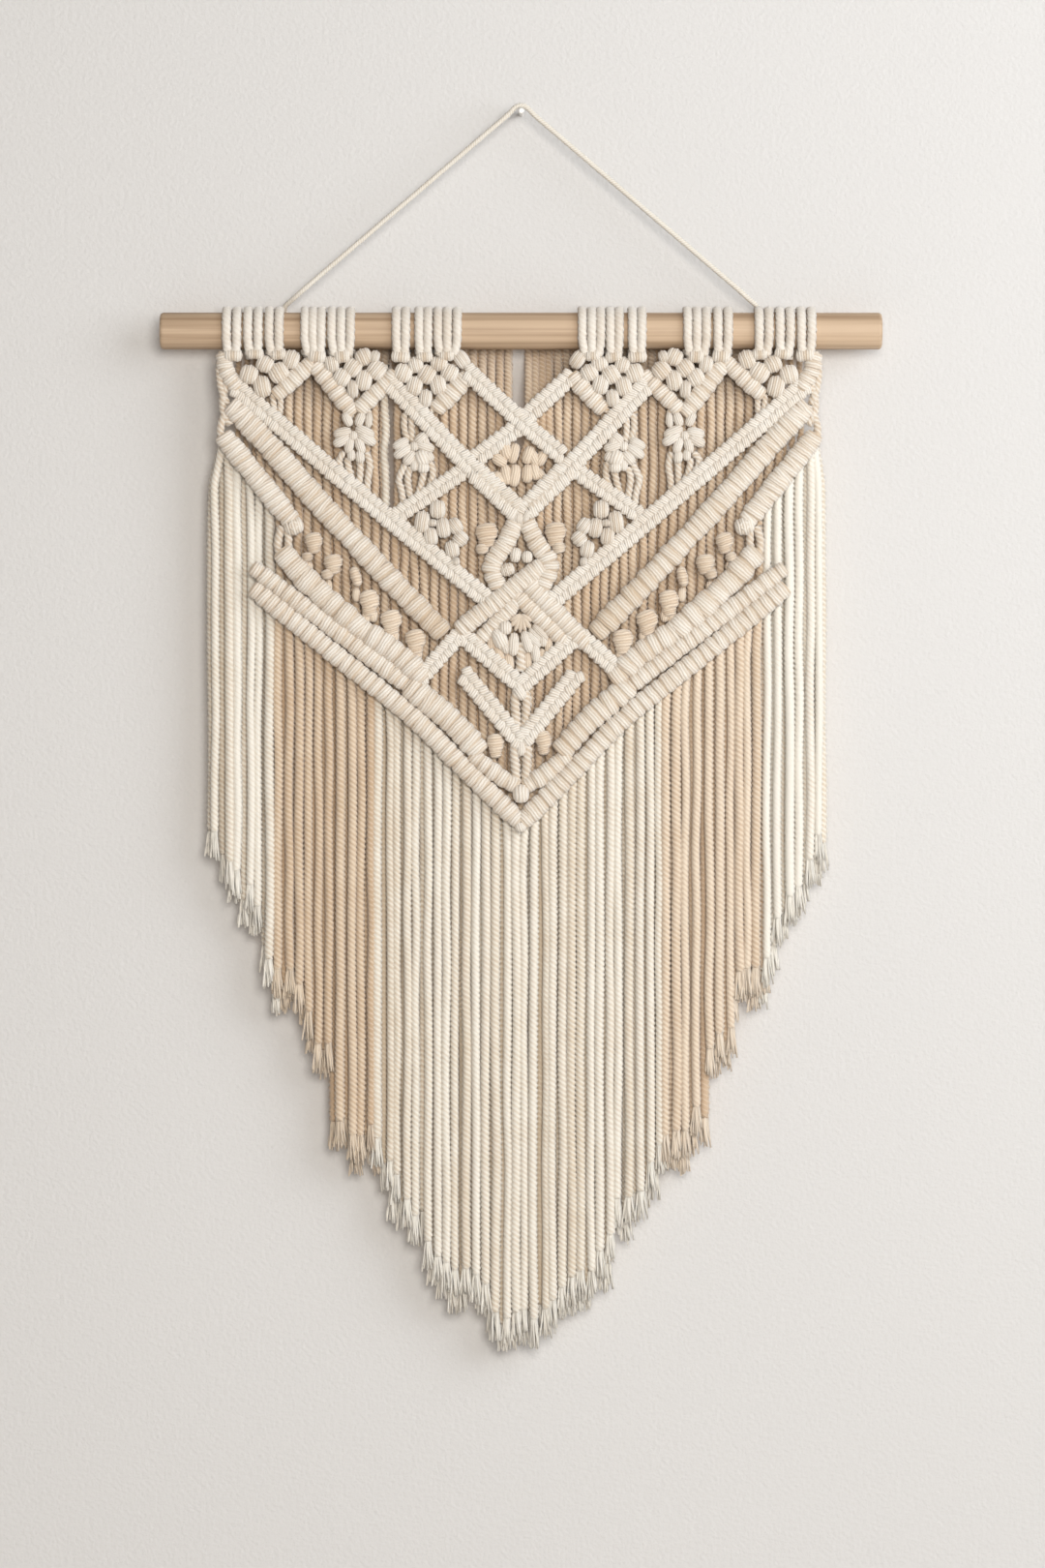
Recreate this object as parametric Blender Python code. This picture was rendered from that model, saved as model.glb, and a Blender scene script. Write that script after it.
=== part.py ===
"""Macrame wall hanging on a wooden dowel, as solids, in metres with +Z up.

The origin is at the wall nail, where the hanger cord lies over it. X runs to the right along the
dowel and Y runs back to the wall. The knotwork is charted as a maker charts it: across from the
middle and down from the nail, both counted in PITCH, the width that one hanging cord takes up.
The chart holds one half, which is mirrored.
"""

import math
import random

import bmesh
import bpy
from mathutils import Vector

# ---------------------------------------------------------------- driving sizes
PITCH = 0.0059  # one hanging cord's share of the width, the chart's unit
CORD = 0.0052  # cotton cord, across
ROD_D = 0.0225
ROD_L = 0.440
ROD_DOWN = 23.0  # the dowel's axis, in pitches below the nail
ROD_CHAMFER = 0.0022
ROD_SIDES = 32
HANGER_D = 0.0035
HANGER_ACROSS = 23.6  # where the hanger goes round the dowel, in pitches
HANGER_RISE = 0.855  # how steeply its legs climb to the nail
HANGER_CROWN = 0.0012  # the legs' lines meet this far above its bend over the nail
HANGER_TURN = (188, 160, 132, 104, 76, 48)  # degrees from the dowel's top, backwards
# Along a leg, from the dowel: the share of its reach across, and Y.
HANGER_LEG = (
    (0.985, 0.0040), (0.945, 0.0011), (0.90, 0.0), (0.75, 0.0), (0.60, 0.0), (0.45, 0.0),
    (0.30, 0.0), (0.15, 0.0), (0.06, 0.0),
)
NAIL_D = 0.0026
NAIL_HEAD_D = 0.0042
NAIL_HEAD = 0.0010
NAIL_IN_WALL = 0.015
NAIL_SIDES = 12
GAP = 0.0003  # between pieces that touch on the real thing
POCKET = 0.003  # a sealed pocket inside the fused knots is smaller than this

ROD_Z = -ROD_DOWN * PITCH
ROD_R = ROD_D / 2
LOOP_STEPS = 8  # the straight runs of a cord's loop round the dowel
LOOP_IN = (ROD_R + GAP) / math.cos(math.pi / LOOP_STEPS)
LOOP_OUT = LOOP_IN + CORD
HEADING_Y = LOOP_OUT + 2 * GAP  # the front of the back cords' heading strip
HEADING_DEEP = 0.0030
HEADING_TALL = 0.0070
WALL_Y = HEADING_Y + HEADING_DEEP + GAP

KNOT_BACK = -0.0039  # the knotwork lies in front of this plane
KNOT_Y = -0.0088  # the middle of a round knot
GROOVE_Y = -0.0088  # the grooves between the knots of a cluster
CREST_Y = -0.0140  # and their crests
STRAND_Y = -0.0007  # the middle of the cords that hang behind the knots
KNOT_DEEP = 0.85  # a round knot's depth, as a share of its width
FRONT_CORNER = -math.pi / 2  # turns a tube's section so that one corner faces the front
BACK_CORD_R = 0.0028
FRINGE_R = 0.0023
FRINGE_Y = KNOT_BACK + GAP + FRINGE_R
UNDER_Y = FRINGE_Y + 0.0058  # the fringe's second row
FRINGE_STRIP = 0.0057  # the height of the strip that a block of fringe hangs from
FRAY = 0.016  # the combed-out end of each cord
FRAY_R = 0.00245
TIP_R = 0.0011
WAVE = 0.0003  # how far a hanging cord strays sideways

CREAM = ("cream_cotton", (0.82, 0.77, 0.69, 1), 0.9, 0.0)
TAN = ("tan_cotton", (0.56, 0.39, 0.26, 1), 0.9, 0.0)
PALE_WOOD = ("pale_wood", (0.56, 0.37, 0.20, 1), 0.55, 0.0)
STEEL = ("nail_steel", (0.75, 0.74, 0.72, 1), 0.35, 1.0)

# ---------------------------------------------------------------- the chart
# Bars of knots: name, width, depth, how far forward it crosses, all in mm, and its
# (across, down) points in pitches.
BARS = (
    ("outer", 10.5, 8.0, 0.0, ((30.7, 25.6), (30.5, 27.6), (29.2, 29.0), (3.4, 50.7))),
    ("second", 14.0, 9.0, 0.0, ((29.7, 30.8), (7.7, 54.2))),
    ("third", 12.5, 9.0, 0.0, ((30.4, 34.2), (22.8, 43.4))),
    ("upper_v", 12.0, 8.5, 0.0, ((25.1, 46.0), (19.3, 51.8), (10.3, 58.8))),
    ("middle_v", 11.0, 8.5, 0.0, ((27.1, 47.8), (11.3, 59.6))),
    ("middle_v_wide", 16.0, 9.0, 0.0, ((11.9, 59.0), (7.4, 62.9), (3.9, 66.8))),
    ("middle_v_end", 11.0, 8.5, 0.0, ((5.0, 67.2), (2.7, 69.2), (-0.4, 70.7))),
    ("lower_v", 11.5, 8.5, 0.0, ((27.2, 49.9), (11.1, 62.4), (-0.3, 74.1))),
    ("diamond_side", 10.5, 8.0, 0.8, ((13.4, 28.2), (5.2, 37.0), (-0.3, 42.2))),
    ("cross", 9.5, 7.0, 0.0, ((-5.2, 28.2), (0.0, 32.6), (5.2, 37.0), (12.9, 42.3))),
    ("peak", 12.0, 8.5, 0.6, ((-1.3, 47.8), (6.4, 54.8))),
    ("peak_inner", 10.0, 7.5, 0.0, ((0.3, 51.0), (4.6, 55.2))),
    ("tie", 10.0, 7.5, 0.0, ((6.0, 54.6), (10.6, 59.2))),
    ("diamond_foot", 10.5, 7.5, 0.0, ((6.4, 53.9), (-0.3, 60.0))),
    ("small_v", 10.5, 7.5, 0.0, ((5.9, 58.2), (-0.3, 65.6))),
    ("ring", 9.5, 7.5, 0.0, ((-0.3, 42.6), (2.2, 45.2), (3.5, 47.6), (2.4, 49.8))),
)
RIDGE = 0.023  # from knot to knot along a bar
RIDGE_DIP = 0.82  # a bar's size between two knots

# Plain cords that join the knots.
LINKS = (
    ((30.9, 26.6), (31.2, 29.2), (30.2, 31.2), (30.9, 34.6)),
    ((23.0, 43.0), (23.9, 45.0), (25.4, 46.6), (27.3, 48.0), (27.4, 50.0)),
    ((25.4, 25.6), (23.7, 26.0), (21.3, 26.4)),
    ((27.6, 25.3), (27.6, 27.5)),
    ((17.2, 30.6), (17.1, 33.4)),
    ((17.6, 34.6), (18.6, 37.5), (18.4, 39.4)),
    ((16.6, 34.6), (15.7, 37.6), (15.6, 41.2)),
    ((8.9, 31.0), (11.0, 34.6)),
    ((11.4, 36.0), (12.4, 38.4), (12.3, 42.4)),
    ((10.6, 36.0), (9.2, 38.6), (9.5, 40.6)),
    ((0.7, 59.4), (0.6, 65.0), (0.9, 71.0)),
    ((0.4, 70.0), (0.3, 74.4)),
)

# Wing knots: (across, down) of the middle of each pair of wings.
WINGS = ((17.1, 33.2), (17.1, 34.8), (11.1, 34.4), (10.8, 36.0))
WING_SPAN = 0.0230
WING_SIZES = (0.0018, 0.0050, 0.0034, 0.0050, 0.0018)

# Single round knots: radius in mm, across, down.
ROUND_KNOTS = (
    (5.2, 23.7, 26.0),
    (6.2, 8.9, 41.4),
    (6.2, 7.9, 42.6),
    (6.2, 9.1, 43.5),
    (6.2, 7.8, 44.5),
    (6.2, 6.6, 45.4),
    (5.4, 0.8, 46.4),
    (5.4, 0.8, 48.0),
    (5.4, 1.4, 54.0),
)

# Clusters of square knots: across and down of the middle of the top row, half the step between
# knots across and down, and how many knots each row has.
CLUSTERS = (
    (27.6, 26.9, 1.30, 1.30, (2, 3, 2, 1)),
    (17.9, 26.8, 0.95, 1.20, (4, 5, 4, 3, 2)),
    (9.4, 26.8, 1.20, 1.15, (3, 4, 3, 2, 1)),
)

# Heads on the dowel: where the cords of each lie, in pitches from the middle.
HEADS = (
    (30.35, 29.30),
    (28.15, 27.10),
    (25.95, 24.95),
    (22.25, 21.45, 20.60),
    (19.50, 18.55, 17.60),
    (12.85, 11.90),
    (10.50, 9.60),
    (8.55, 7.60, 6.60),
)

# The tan knot on the back cords inside the upper diamond: across and down of its halves.
TAN_KNOT = (0.9, 36.4)
TAN_KNOT_R = 0.0062

# The fringe's tips, which step down towards the middle: across, down.
TIPS = (
    (32.3, 78.0), (30.5, 80.6), (29.1, 83.7), (28.0, 85.2), (27.1, 86.6), (25.9, 92.8),
    (23.9, 93.4), (22.6, 93.9), (22.2, 97.6), (20.9, 100.3), (19.6, 100.6), (19.2, 107.6),
    (17.3, 109.6), (15.1, 109.4), (14.0, 112.8), (12.3, 115.7), (10.1, 118.0), (9.7, 121.0),
    (7.3, 123.7), (5.2, 124.3), (2.9, 127.0), (0.8, 129.0), (0.0, 129.0),
)
UNDER_SHORTER = (0.9, 3.0)  # the second row's tips are this much higher, in pitches
TIP_JITTER = 0.5

# The back cords, from their heading strip forward under the dowel: Y and the distance below the
# dowel's axis in mm, and half the cord's depth in mm where it is pressed flat.
BACK_ROUTE = ((0.0, -1.0, 1.0), (0.5, 9.0, 1.3), (-10.5, 26.0, 2.5), (None, 46.0, 2.8))
BACK_CORDS = 55
BACK_END = 1.7  # the back cords end this far above the lowest bar, in pitches

EDGE_CORDS = (32.3, 31.4, 30.4, 29.4, 28.4, 27.4, 26.4, 25.5)
TAN_CORDS = (24.6, 23.6, 22.6, 21.6, 20.5, 19.5, 18.5, 17.5, 16.4, 15.4)
MIDDLE_CORDS = 30
MIDDLE_HALF = 14.4


def at(across, down, y):
    """A place in the room for a place on the chart."""
    return Vector((across * PITCH, y, -down * PITCH))


def read_table(rows, across):
    """The table's second column at a place in its first, by straight lines between rows."""
    rows = sorted(rows)
    for (a0, d0), (a1, d1) in zip(rows, rows[1:]):
        if across <= a1:
            share = max(0.0, (across - a0) / (a1 - a0))
            return d0 + (d1 - d0) * share
    return rows[-1][1]


def bar_points(name):
    return next(row[4] for row in BARS if row[0] == name)


# ---------------------------------------------------------------- making solids
def tube(path, half_wide, half_deep, sides, lies_flat, turn=0.0):
    """A closed tube with a ring of corners at each point of path. One that lies flat keeps its
    depth along Y, and one that hangs keeps its width along X."""
    mesh = bmesh.new()
    rings = []
    for i, point in enumerate(path):
        along = (path[min(i + 1, len(path) - 1)] - path[max(i - 1, 0)]).normalized()
        deep = Vector((0, 1, 0)) if lies_flat else Vector((1, 0, 0)).cross(along).normalized()
        wide = along.cross(deep).normalized()
        corners = []
        for k in range(sides):
            angle = turn + 2 * math.pi * k / sides
            offset = wide * math.cos(angle) * half_wide[i] + deep * math.sin(angle) * half_deep[i]
            corners.append(mesh.verts.new(point + offset))
        rings.append(corners)
    for low, high in zip(rings, rings[1:]):
        bridge(mesh, low, high)
    mesh.faces.new(rings[0])
    mesh.faces.new(rings[-1])
    bmesh.ops.recalc_face_normals(mesh, faces=mesh.faces)
    return mesh


def bridge(mesh, low, high):
    count = len(low)
    for k in range(count):
        mesh.faces.new((low[k], low[(k + 1) % count], high[(k + 1) % count], high[k]))


def ball(centre, radius):
    """A round knot, flattened a little from front to back."""
    mesh = bmesh.new()
    bmesh.ops.create_icosphere(mesh, subdivisions=1, radius=radius)
    for vert in mesh.verts:
        vert.co = Vector((vert.co.x, vert.co.y * KNOT_DEEP, vert.co.z)) + centre
    return mesh


def material(look):
    name, colour, roughness, metallic = look
    made = bpy.data.materials.get(name)
    if made is None:
        made = bpy.data.materials.new(name)
        made.use_nodes = True
        made.diffuse_color = colour
        shader = made.node_tree.nodes["Principled BSDF"]
        shader.inputs["Base Color"].default_value = colour
        shader.inputs["Roughness"].default_value = roughness
        shader.inputs["Metallic"].default_value = metallic
    return made


def place(name, mesh, look):
    """Puts a bmesh into the scene as a named object."""
    data = bpy.data.meshes.new(name)
    mesh.to_mesh(data)
    mesh.free()
    data.materials.append(material(look))
    made = bpy.data.objects.new(name, data)
    bpy.context.scene.collection.objects.link(made)
    return made


def drop_pockets(mesh):
    """Fills the sealed pockets that are left where several bits meet, under POCKET across."""
    left = set(mesh.verts)
    while left:
        found = [left.pop()]
        for vert in found:
            near = [edge.other_vert(vert) for edge in vert.link_edges]
            found += [other for other in near if other in left]
            left.difference_update(near)
        wide = max(max(v.co[k] for v in found) - min(v.co[k] for v in found) for k in range(3))
        if wide < POCKET:
            bmesh.ops.delete(mesh, geom=found, context="VERTS")


def fuse(name, bits, look):
    """Joins overlapping closed bits into one solid with an exact Boolean union."""
    others = bpy.data.collections.new(name + "_others")
    bpy.context.scene.collection.children.link(others)
    helpers = [place(name + "_bit", bit, look) for bit in bits]
    for helper in helpers[1:]:
        bpy.context.scene.collection.objects.unlink(helper)
        others.objects.link(helper)
    union = helpers[0].modifiers.new("union", "BOOLEAN")
    union.operation = "UNION"
    union.operand_type = "COLLECTION"
    union.collection = others
    union.solver = "EXACT"
    depsgraph = bpy.context.evaluated_depsgraph_get()
    data = bpy.data.meshes.new_from_object(helpers[0].evaluated_get(depsgraph))
    for helper in helpers:
        bpy.data.objects.remove(helper)
    bpy.data.collections.remove(others)
    mesh = bmesh.new()
    mesh.from_mesh(data)
    bmesh.ops.remove_doubles(mesh, verts=mesh.verts, dist=0.000002)
    bmesh.ops.dissolve_limit(
        mesh, angle_limit=math.radians(0.4), verts=mesh.verts, edges=mesh.edges
    )
    drop_pockets(mesh)
    bmesh.ops.triangulate(mesh, faces=mesh.faces)
    bpy.data.meshes.remove(data)
    return place(name, mesh, look)


def spaced_path(points, step):
    """An odd number of points, about step apart, along the straight runs between points."""
    runs = list(zip(points, points[1:]))
    total = sum((b - a).length for a, b in runs)
    count = 2 * max(1, round(total / step / 2)) + 1
    out = []
    for i in range(count):
        left = total * i / (count - 1)
        for a, b in runs:
            length = (b - a).length
            if left <= length + 1e-9:
                out.append(a.lerp(b, min(1.0, left / length)))
                break
            left -= length
    return out


def smooth_path(points, per_run):
    """A Catmull-Rom curve through points, with per_run steps between each two."""
    ends = [points[0] * 2 - points[1]] + points + [points[-1] * 2 - points[-2]]
    out = []
    for a, b, c, d in zip(ends, ends[1:], ends[2:], ends[3:]):
        for k in range(per_run):
            t = k / per_run
            cubic = 3 * b - a - 3 * c + d
            square = 2 * a - 5 * b + 4 * c - d
            out.append(0.5 * (2 * b + (c - a) * t + square * t * t + cubic * t ** 3))
    return out + [points[-1]]


# ---------------------------------------------------------------- the knotwork's bits
def knot_bar(points, width, depth, forward):
    """A bar of knots: its rings step out at each knot and in between, its back is flat."""
    middle = KNOT_BACK - depth / 2 * math.sin(math.radians(54)) - forward
    path = spaced_path([at(a, d, middle) for a, d in points], RIDGE / 2)
    swell = [1.0 if i % 2 else RIDGE_DIP for i in range(len(path))]
    wide = [width / 2 * s for s in swell]
    deep = [depth / 2 * s for s in swell]
    return tube(path, wide, deep, 5, True, turn=FRONT_CORNER)


def head_loop(places):
    """The cords of one head, side by side round the dowel, with a groove between them."""
    half = CORD / 2
    centres = sorted(p * PITCH for p in places)
    section = [(centres[0] - half, LOOP_IN), (centres[-1] + half, LOOP_IN)]
    for k in range(len(centres) - 1, -1, -1):
        crest = centres[k] + half * 0.4 * ((k > 0) - (k == 0))
        section.append((crest, LOOP_OUT))
        if k:
            section.append(((centres[k] + centres[k - 1]) / 2, LOOP_OUT - CORD * 0.45))
    mesh = bmesh.new()
    rings = []
    for i in range(LOOP_STEPS):
        angle = 2 * math.pi * (i + 0.5) / LOOP_STEPS
        turned = [(x, -r * math.sin(angle), ROD_Z + r * math.cos(angle)) for x, r in section]
        rings.append([mesh.verts.new(corner) for corner in turned])
    for low, high in zip(rings, rings[1:] + rings[:1]):
        bridge(mesh, low, high)
    bmesh.ops.recalc_face_normals(mesh, faces=mesh.faces)
    return mesh


def cluster(side, across, down, step_a, step_d, rows):
    """Square knots in rows, each half a step aside of the row above: every knot is a
    four-sided hill between grooves, and the whole has a flat back."""
    mesh = bmesh.new()
    corners = {}
    cells = []
    for row, count in enumerate(rows):
        for k in range(count):
            cells.append((2 * k - (count - 1), row))
    for i, j in cells:
        for key in ((i - 1, j), (i, j + 1), (i + 1, j), (i, j - 1)):
            if key not in corners:
                a, d = side * (across + key[0] * step_a), down + key[1] * step_d
                front = mesh.verts.new(at(a, d, GROOVE_Y))
                corners[key] = (front, mesh.verts.new(at(a, d, KNOT_BACK)))
    edges = {}
    for i, j in cells:
        crest = mesh.verts.new(at(side * (across + i * step_a), down + j * step_d, CREST_Y))
        keys = ((i - 1, j), (i, j + 1), (i + 1, j), (i, j - 1))
        for a, b in zip(keys, keys[1:] + keys[:1]):
            mesh.faces.new((corners[a][0], corners[b][0], crest))
            edges[frozenset((a, b))] = edges.get(frozenset((a, b)), 0) + 1
        mesh.faces.new([corners[key][1] for key in keys])
    for edge, used in edges.items():
        if used == 1:
            a, b = edge
            mesh.faces.new((corners[a][0], corners[b][0], corners[b][1], corners[a][1]))
    bmesh.ops.recalc_face_normals(mesh, faces=mesh.faces)
    return mesh


def wing_pair(across, down):
    half = WING_SPAN / 2 / PITCH
    places = [across + half * share for share in (-1, -0.55, 0, 0.55, 1)]
    path = [at(a, down, KNOT_Y) for a in places]
    return tube(path, WING_SIZES, WING_SIZES, 5, True, turn=FRONT_CORNER)


def knot_panel():
    """The cream knotwork: its cords are one fused piece from the dowel to the lowest bar."""
    bits = []
    for side in (-1, 1):
        for name, width, depth, forward, points in BARS:
            over = 0.5 if side > 0 and name in ("cross", "peak") else 0.0
            mirrored = [(side * a, d) for a, d in points]
            bits.append(knot_bar(mirrored, width / 1000, depth / 1000, (forward + over) / 1000))
        for points in LINKS:
            path = [at(side * a, d, KNOT_Y + 0.0015) for a, d in points]
            half = [CORD / 2] * len(path)
            bits.append(tube(path, half, half, 4, True))
        for across, down in WINGS:
            bits.append(wing_pair(side * across, down))
        for radius, across, down in ROUND_KNOTS:
            bits.append(ball(at(side * across, down, KNOT_Y), radius / 1000))
        for row in CLUSTERS:
            bits.append(cluster(side, *row))
        for places in HEADS:
            bits.append(head_loop([side * p for p in places]))
            middle = side * sum(places) / len(places)
            bits.append(ball(at(middle, 25.4, KNOT_Y - 0.0008), 0.0052))
    fuse("knot_panel", bits, CREAM)


# ---------------------------------------------------------------- the other pieces
def dowel_rod():
    mesh = bmesh.new()
    left = [(-ROD_L / 2, ROD_R - ROD_CHAMFER), (-ROD_L / 2 + ROD_CHAMFER, ROD_R)]
    profile = left + [(-x, r) for x, r in reversed(left)]
    rings = []
    for x, r in profile:
        turns = [2 * math.pi * (k + 0.5) / ROD_SIDES for k in range(ROD_SIDES)]
        ring = [(x, r * math.cos(turn), ROD_Z + r * math.sin(turn)) for turn in turns]
        rings.append([mesh.verts.new(corner) for corner in ring])
    for low, high in zip(rings, rings[1:]):
        bridge(mesh, low, high)
    mesh.faces.new(rings[0])
    mesh.faces.new(rings[-1])
    bmesh.ops.recalc_face_normals(mesh, faces=mesh.faces)
    place("dowel_rod", mesh, PALE_WOOD)


def hanger_route():
    """The hanger's middle line: from under the dowel, up behind it, over the nail and down."""
    turn_r = ROD_R + HANGER_D / 2 + 3 * GAP
    x = -HANGER_ACROSS * PITCH
    half = []
    for degrees in HANGER_TURN:
        turn = math.radians(degrees)
        half.append(Vector((x, turn_r * math.sin(turn), ROD_Z + turn_r * math.cos(turn))))
    top = HANGER_D / 2
    for share, y in HANGER_LEG:
        half.append(Vector((x * share, y, top + HANGER_CROWN + x * share * HANGER_RISE)))
    half.append(Vector((-0.0034, 0.0, top - 0.0010)))
    over = [Vector((0.0, 0.0, top))]
    other = [Vector((-p.x, p.y, p.z)) for p in reversed(half)]
    return half + over + other


def hanger_cord():
    curve = bpy.data.curves.new("hanger_cord", "CURVE")
    curve.dimensions = "3D"
    curve.bevel_depth = HANGER_D / 2
    curve.bevel_resolution = 2
    curve.use_fill_caps = True
    spline = curve.splines.new("POLY")
    points = smooth_path(hanger_route(), 2)
    spline.points.add(len(points) - 1)
    for knob, point in zip(spline.points, points):
        knob.co = (*point, 1)
    curve.materials.append(material(CREAM))
    made = bpy.data.objects.new("hanger_cord", curve)
    bpy.context.scene.collection.objects.link(made)


def wall_nail():
    mesh = bmesh.new()
    front = -HANGER_D / 2 - GAP - NAIL_HEAD - 0.0003
    back = WALL_Y + NAIL_IN_WALL
    shaft, head = NAIL_D / 2, NAIL_HEAD_D / 2
    profile = (
        (front, head * 0.7),
        (front + NAIL_HEAD * 0.4, head),
        (front + NAIL_HEAD, head),
        (front + NAIL_HEAD + 0.0001, shaft),
        (back - 0.004, shaft),
        (back, shaft * 0.2),
    )
    rings = []
    for y, r in profile:
        turns = [2 * math.pi * k / NAIL_SIDES for k in range(NAIL_SIDES)]
        z = -GAP - shaft
        ring = [(r * math.cos(turn), y, z + r * math.sin(turn)) for turn in turns]
        rings.append([mesh.verts.new(corner) for corner in ring])
    for low, high in zip(rings, rings[1:]):
        bridge(mesh, low, high)
    mesh.faces.new(rings[0])
    mesh.faces.new(rings[-1])
    bmesh.ops.recalc_face_normals(mesh, faces=mesh.faces)
    place("wall_nail", mesh, STEEL)


def back_cords():
    """Tan cords behind the knotwork, hung from a heading strip behind the dowel."""
    middle = HEADING_Y + HEADING_DEEP / 2
    reach = (BACK_CORDS - 1) / 2 + 0.5
    half_x = reach * PITCH
    strip_path = [Vector((x, middle, ROD_Z)) for x in (-half_x, half_x)]
    tall = [HEADING_TALL * math.sqrt(0.5)] * 2
    thick = [HEADING_DEEP * math.sqrt(0.5)] * 2
    bits = [tube(strip_path, tall, thick, 4, True, turn=math.pi / 4)]
    lowest = bar_points("lower_v")
    third = bar_points("third")
    for k in range(BACK_CORDS):
        across = k - (BACK_CORDS - 1) / 2
        line = lowest if abs(across) < third[-1][0] + 0.5 else third
        end = read_table(line, abs(across)) - BACK_END
        x = across * PITCH
        path = []
        for back, below, _ in BACK_ROUTE:
            y = STRAND_Y if back is None else middle + back / 1000
            path.append(Vector((x, y, ROD_Z - below / 1000)))
        path.append(Vector((x, STRAND_Y, -end * PITCH)))
        deep = [row[2] / 1000 for row in BACK_ROUTE] + [BACK_CORD_R]
        wide = [BACK_CORD_R] * len(path)
        bits.append(tube(path, wide, deep, 3, False, turn=FRONT_CORNER))
    knot_y = KNOT_BACK + GAP + TAN_KNOT_R * KNOT_DEEP
    bits += [ball(at(side * TAN_KNOT[0], TAN_KNOT[1], knot_y), TAN_KNOT_R) for side in (-1, 1)]
    fuse("back_cords", bits, TAN)


def fringe(name, line, places, look, chance):
    """Hanging cords whose tops are fused into a narrow strip behind a bar, and a second row
    behind them between each two."""
    middle = (FRINGE_Y + UNDER_Y) / 2
    strip_path = [at(a, d, middle) for a, d in line]
    tall = [FRINGE_STRIP * math.sqrt(0.5)] * len(line)
    deep = [(middle - KNOT_BACK - GAP) * math.sqrt(2)] * len(line)
    bits = [tube(strip_path, tall, deep, 4, True, turn=math.pi / 4)]
    between = [(a + b) / 2 for a, b in zip(places[::2], places[1::2])]
    rows = ((places, FRINGE_Y, FRINGE_R, 4, (0, 0)), (between, UNDER_Y, FRINGE_R, 3, UNDER_SHORTER))
    for where, y, radius, sides, shorter in rows:
        for across in where:
            top = read_table([(a, d) for a, d in line], across)
            tip = read_table(TIPS, abs(across)) - chance.uniform(*shorter)
            tip += chance.uniform(-TIP_JITTER, TIP_JITTER)
            stray = chance.uniform(-WAVE, WAVE)
            low = at(across, tip, y)
            fray = low + Vector((stray, 0, FRAY))
            path = [at(across, top, y), fray, fray.lerp(low, 0.5), low]
            sizes = [radius, radius, FRAY_R, TIP_R]
            bits.append(tube(path, sizes, sizes, sides, False, turn=FRONT_CORNER))
    fuse(name, bits, look)


def fringes():
    chance = random.Random(7)
    third = bar_points("third")
    lowest = bar_points("lower_v")
    edge_line = ((32.6, 33.4), (30.4, 34.8), (25.2, 41.0))
    tan_ends = (TAN_CORDS[0] + 0.1, TAN_CORDS[-1] - 0.1)
    tan_line = [(a, read_table(lowest, a)) for a in tan_ends]
    half_line = [(a, read_table(lowest, a)) for a in (MIDDLE_HALF + 0.1, 11.1, 0.0)]
    middle_line = half_line + [(-a, d) for a, d in reversed(half_line[:-1])]
    step = 2 * MIDDLE_HALF / (MIDDLE_CORDS - 1)
    middle_places = [-MIDDLE_HALF + step * k for k in range(MIDDLE_CORDS)]
    for side, hand in ((-1, "left"), (1, "right")):
        edge = [(side * a, d) for a, d in edge_line]
        fringe("fringe_edge_" + hand, edge, [side * a for a in EDGE_CORDS], CREAM, chance)
        tan = [(side * a, d) for a, d in tan_line]
        fringe("fringe_tan_" + hand, tan, [side * a for a in TAN_CORDS], TAN, chance)
    fringe("fringe_middle", middle_line, middle_places, CREAM, chance)


for thing in list(bpy.data.objects):
    bpy.data.objects.remove(thing)
dowel_rod()
hanger_cord()
wall_nail()
knot_panel()
back_cords()
fringes()
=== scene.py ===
# %% [markdown]
# # A macrame wall hanging, cord by cord
#
# The real piece is soft cotton cord knotted onto a wooden dowel. Cream cords make the knots and
# the bars, tan cords hang behind them, and everything ends in a combed fringe that steps down to
# a point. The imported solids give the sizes. This script dresses them with cord.

import math
import random

import bpy
import numpy as np
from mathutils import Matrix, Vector


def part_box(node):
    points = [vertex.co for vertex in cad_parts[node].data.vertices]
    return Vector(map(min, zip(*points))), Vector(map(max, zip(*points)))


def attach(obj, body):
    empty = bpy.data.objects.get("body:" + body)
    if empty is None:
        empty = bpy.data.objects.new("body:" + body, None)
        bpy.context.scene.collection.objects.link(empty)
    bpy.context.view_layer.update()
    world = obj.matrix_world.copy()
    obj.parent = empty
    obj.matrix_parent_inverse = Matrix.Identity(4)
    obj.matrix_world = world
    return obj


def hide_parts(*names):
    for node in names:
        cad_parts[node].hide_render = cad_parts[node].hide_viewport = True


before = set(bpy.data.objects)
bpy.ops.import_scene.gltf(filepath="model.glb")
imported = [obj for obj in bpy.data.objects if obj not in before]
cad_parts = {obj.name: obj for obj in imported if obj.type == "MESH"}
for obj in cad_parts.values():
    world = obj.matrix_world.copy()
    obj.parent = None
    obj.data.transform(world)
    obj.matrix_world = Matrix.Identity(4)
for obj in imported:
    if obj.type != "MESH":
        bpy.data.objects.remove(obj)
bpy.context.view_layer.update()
print("solids:", sorted(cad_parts))

# %% [markdown]
# ## The maker's chart
#
# A maker counts a pattern in cords, so the chart does too: how many cords across from the middle,
# and how many cord widths down from the nail. One cord's share of the width is the pitch. The
# chart holds the left half, and most of it is used twice, once for each side. The dowel's height
# and thickness are measured from its solid.

# %% Chart units
MM = 0.001
PITCH = 5.9 * MM
LEFT, RIGHT = -1, 1
DRAWN_IN, DRAWN_FROM = 0.4, 10  # in pitches: the right half is drawn in, fully from this far out
rod_low, rod_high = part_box("dowel_rod")
ROD_LENGTH = rod_high.x - rod_low.x
ROD_R = (rod_high.z - rod_low.z) / 2
ROD_Z = (rod_high.z + rod_low.z) / 2


def at(across, down, y):
    """A place in the room for a place on the chart."""
    if across > 0:
        across -= DRAWN_IN * min(1.0, across / DRAWN_FROM)
    return Vector((across * PITCH, y, -down * PITCH))


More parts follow.
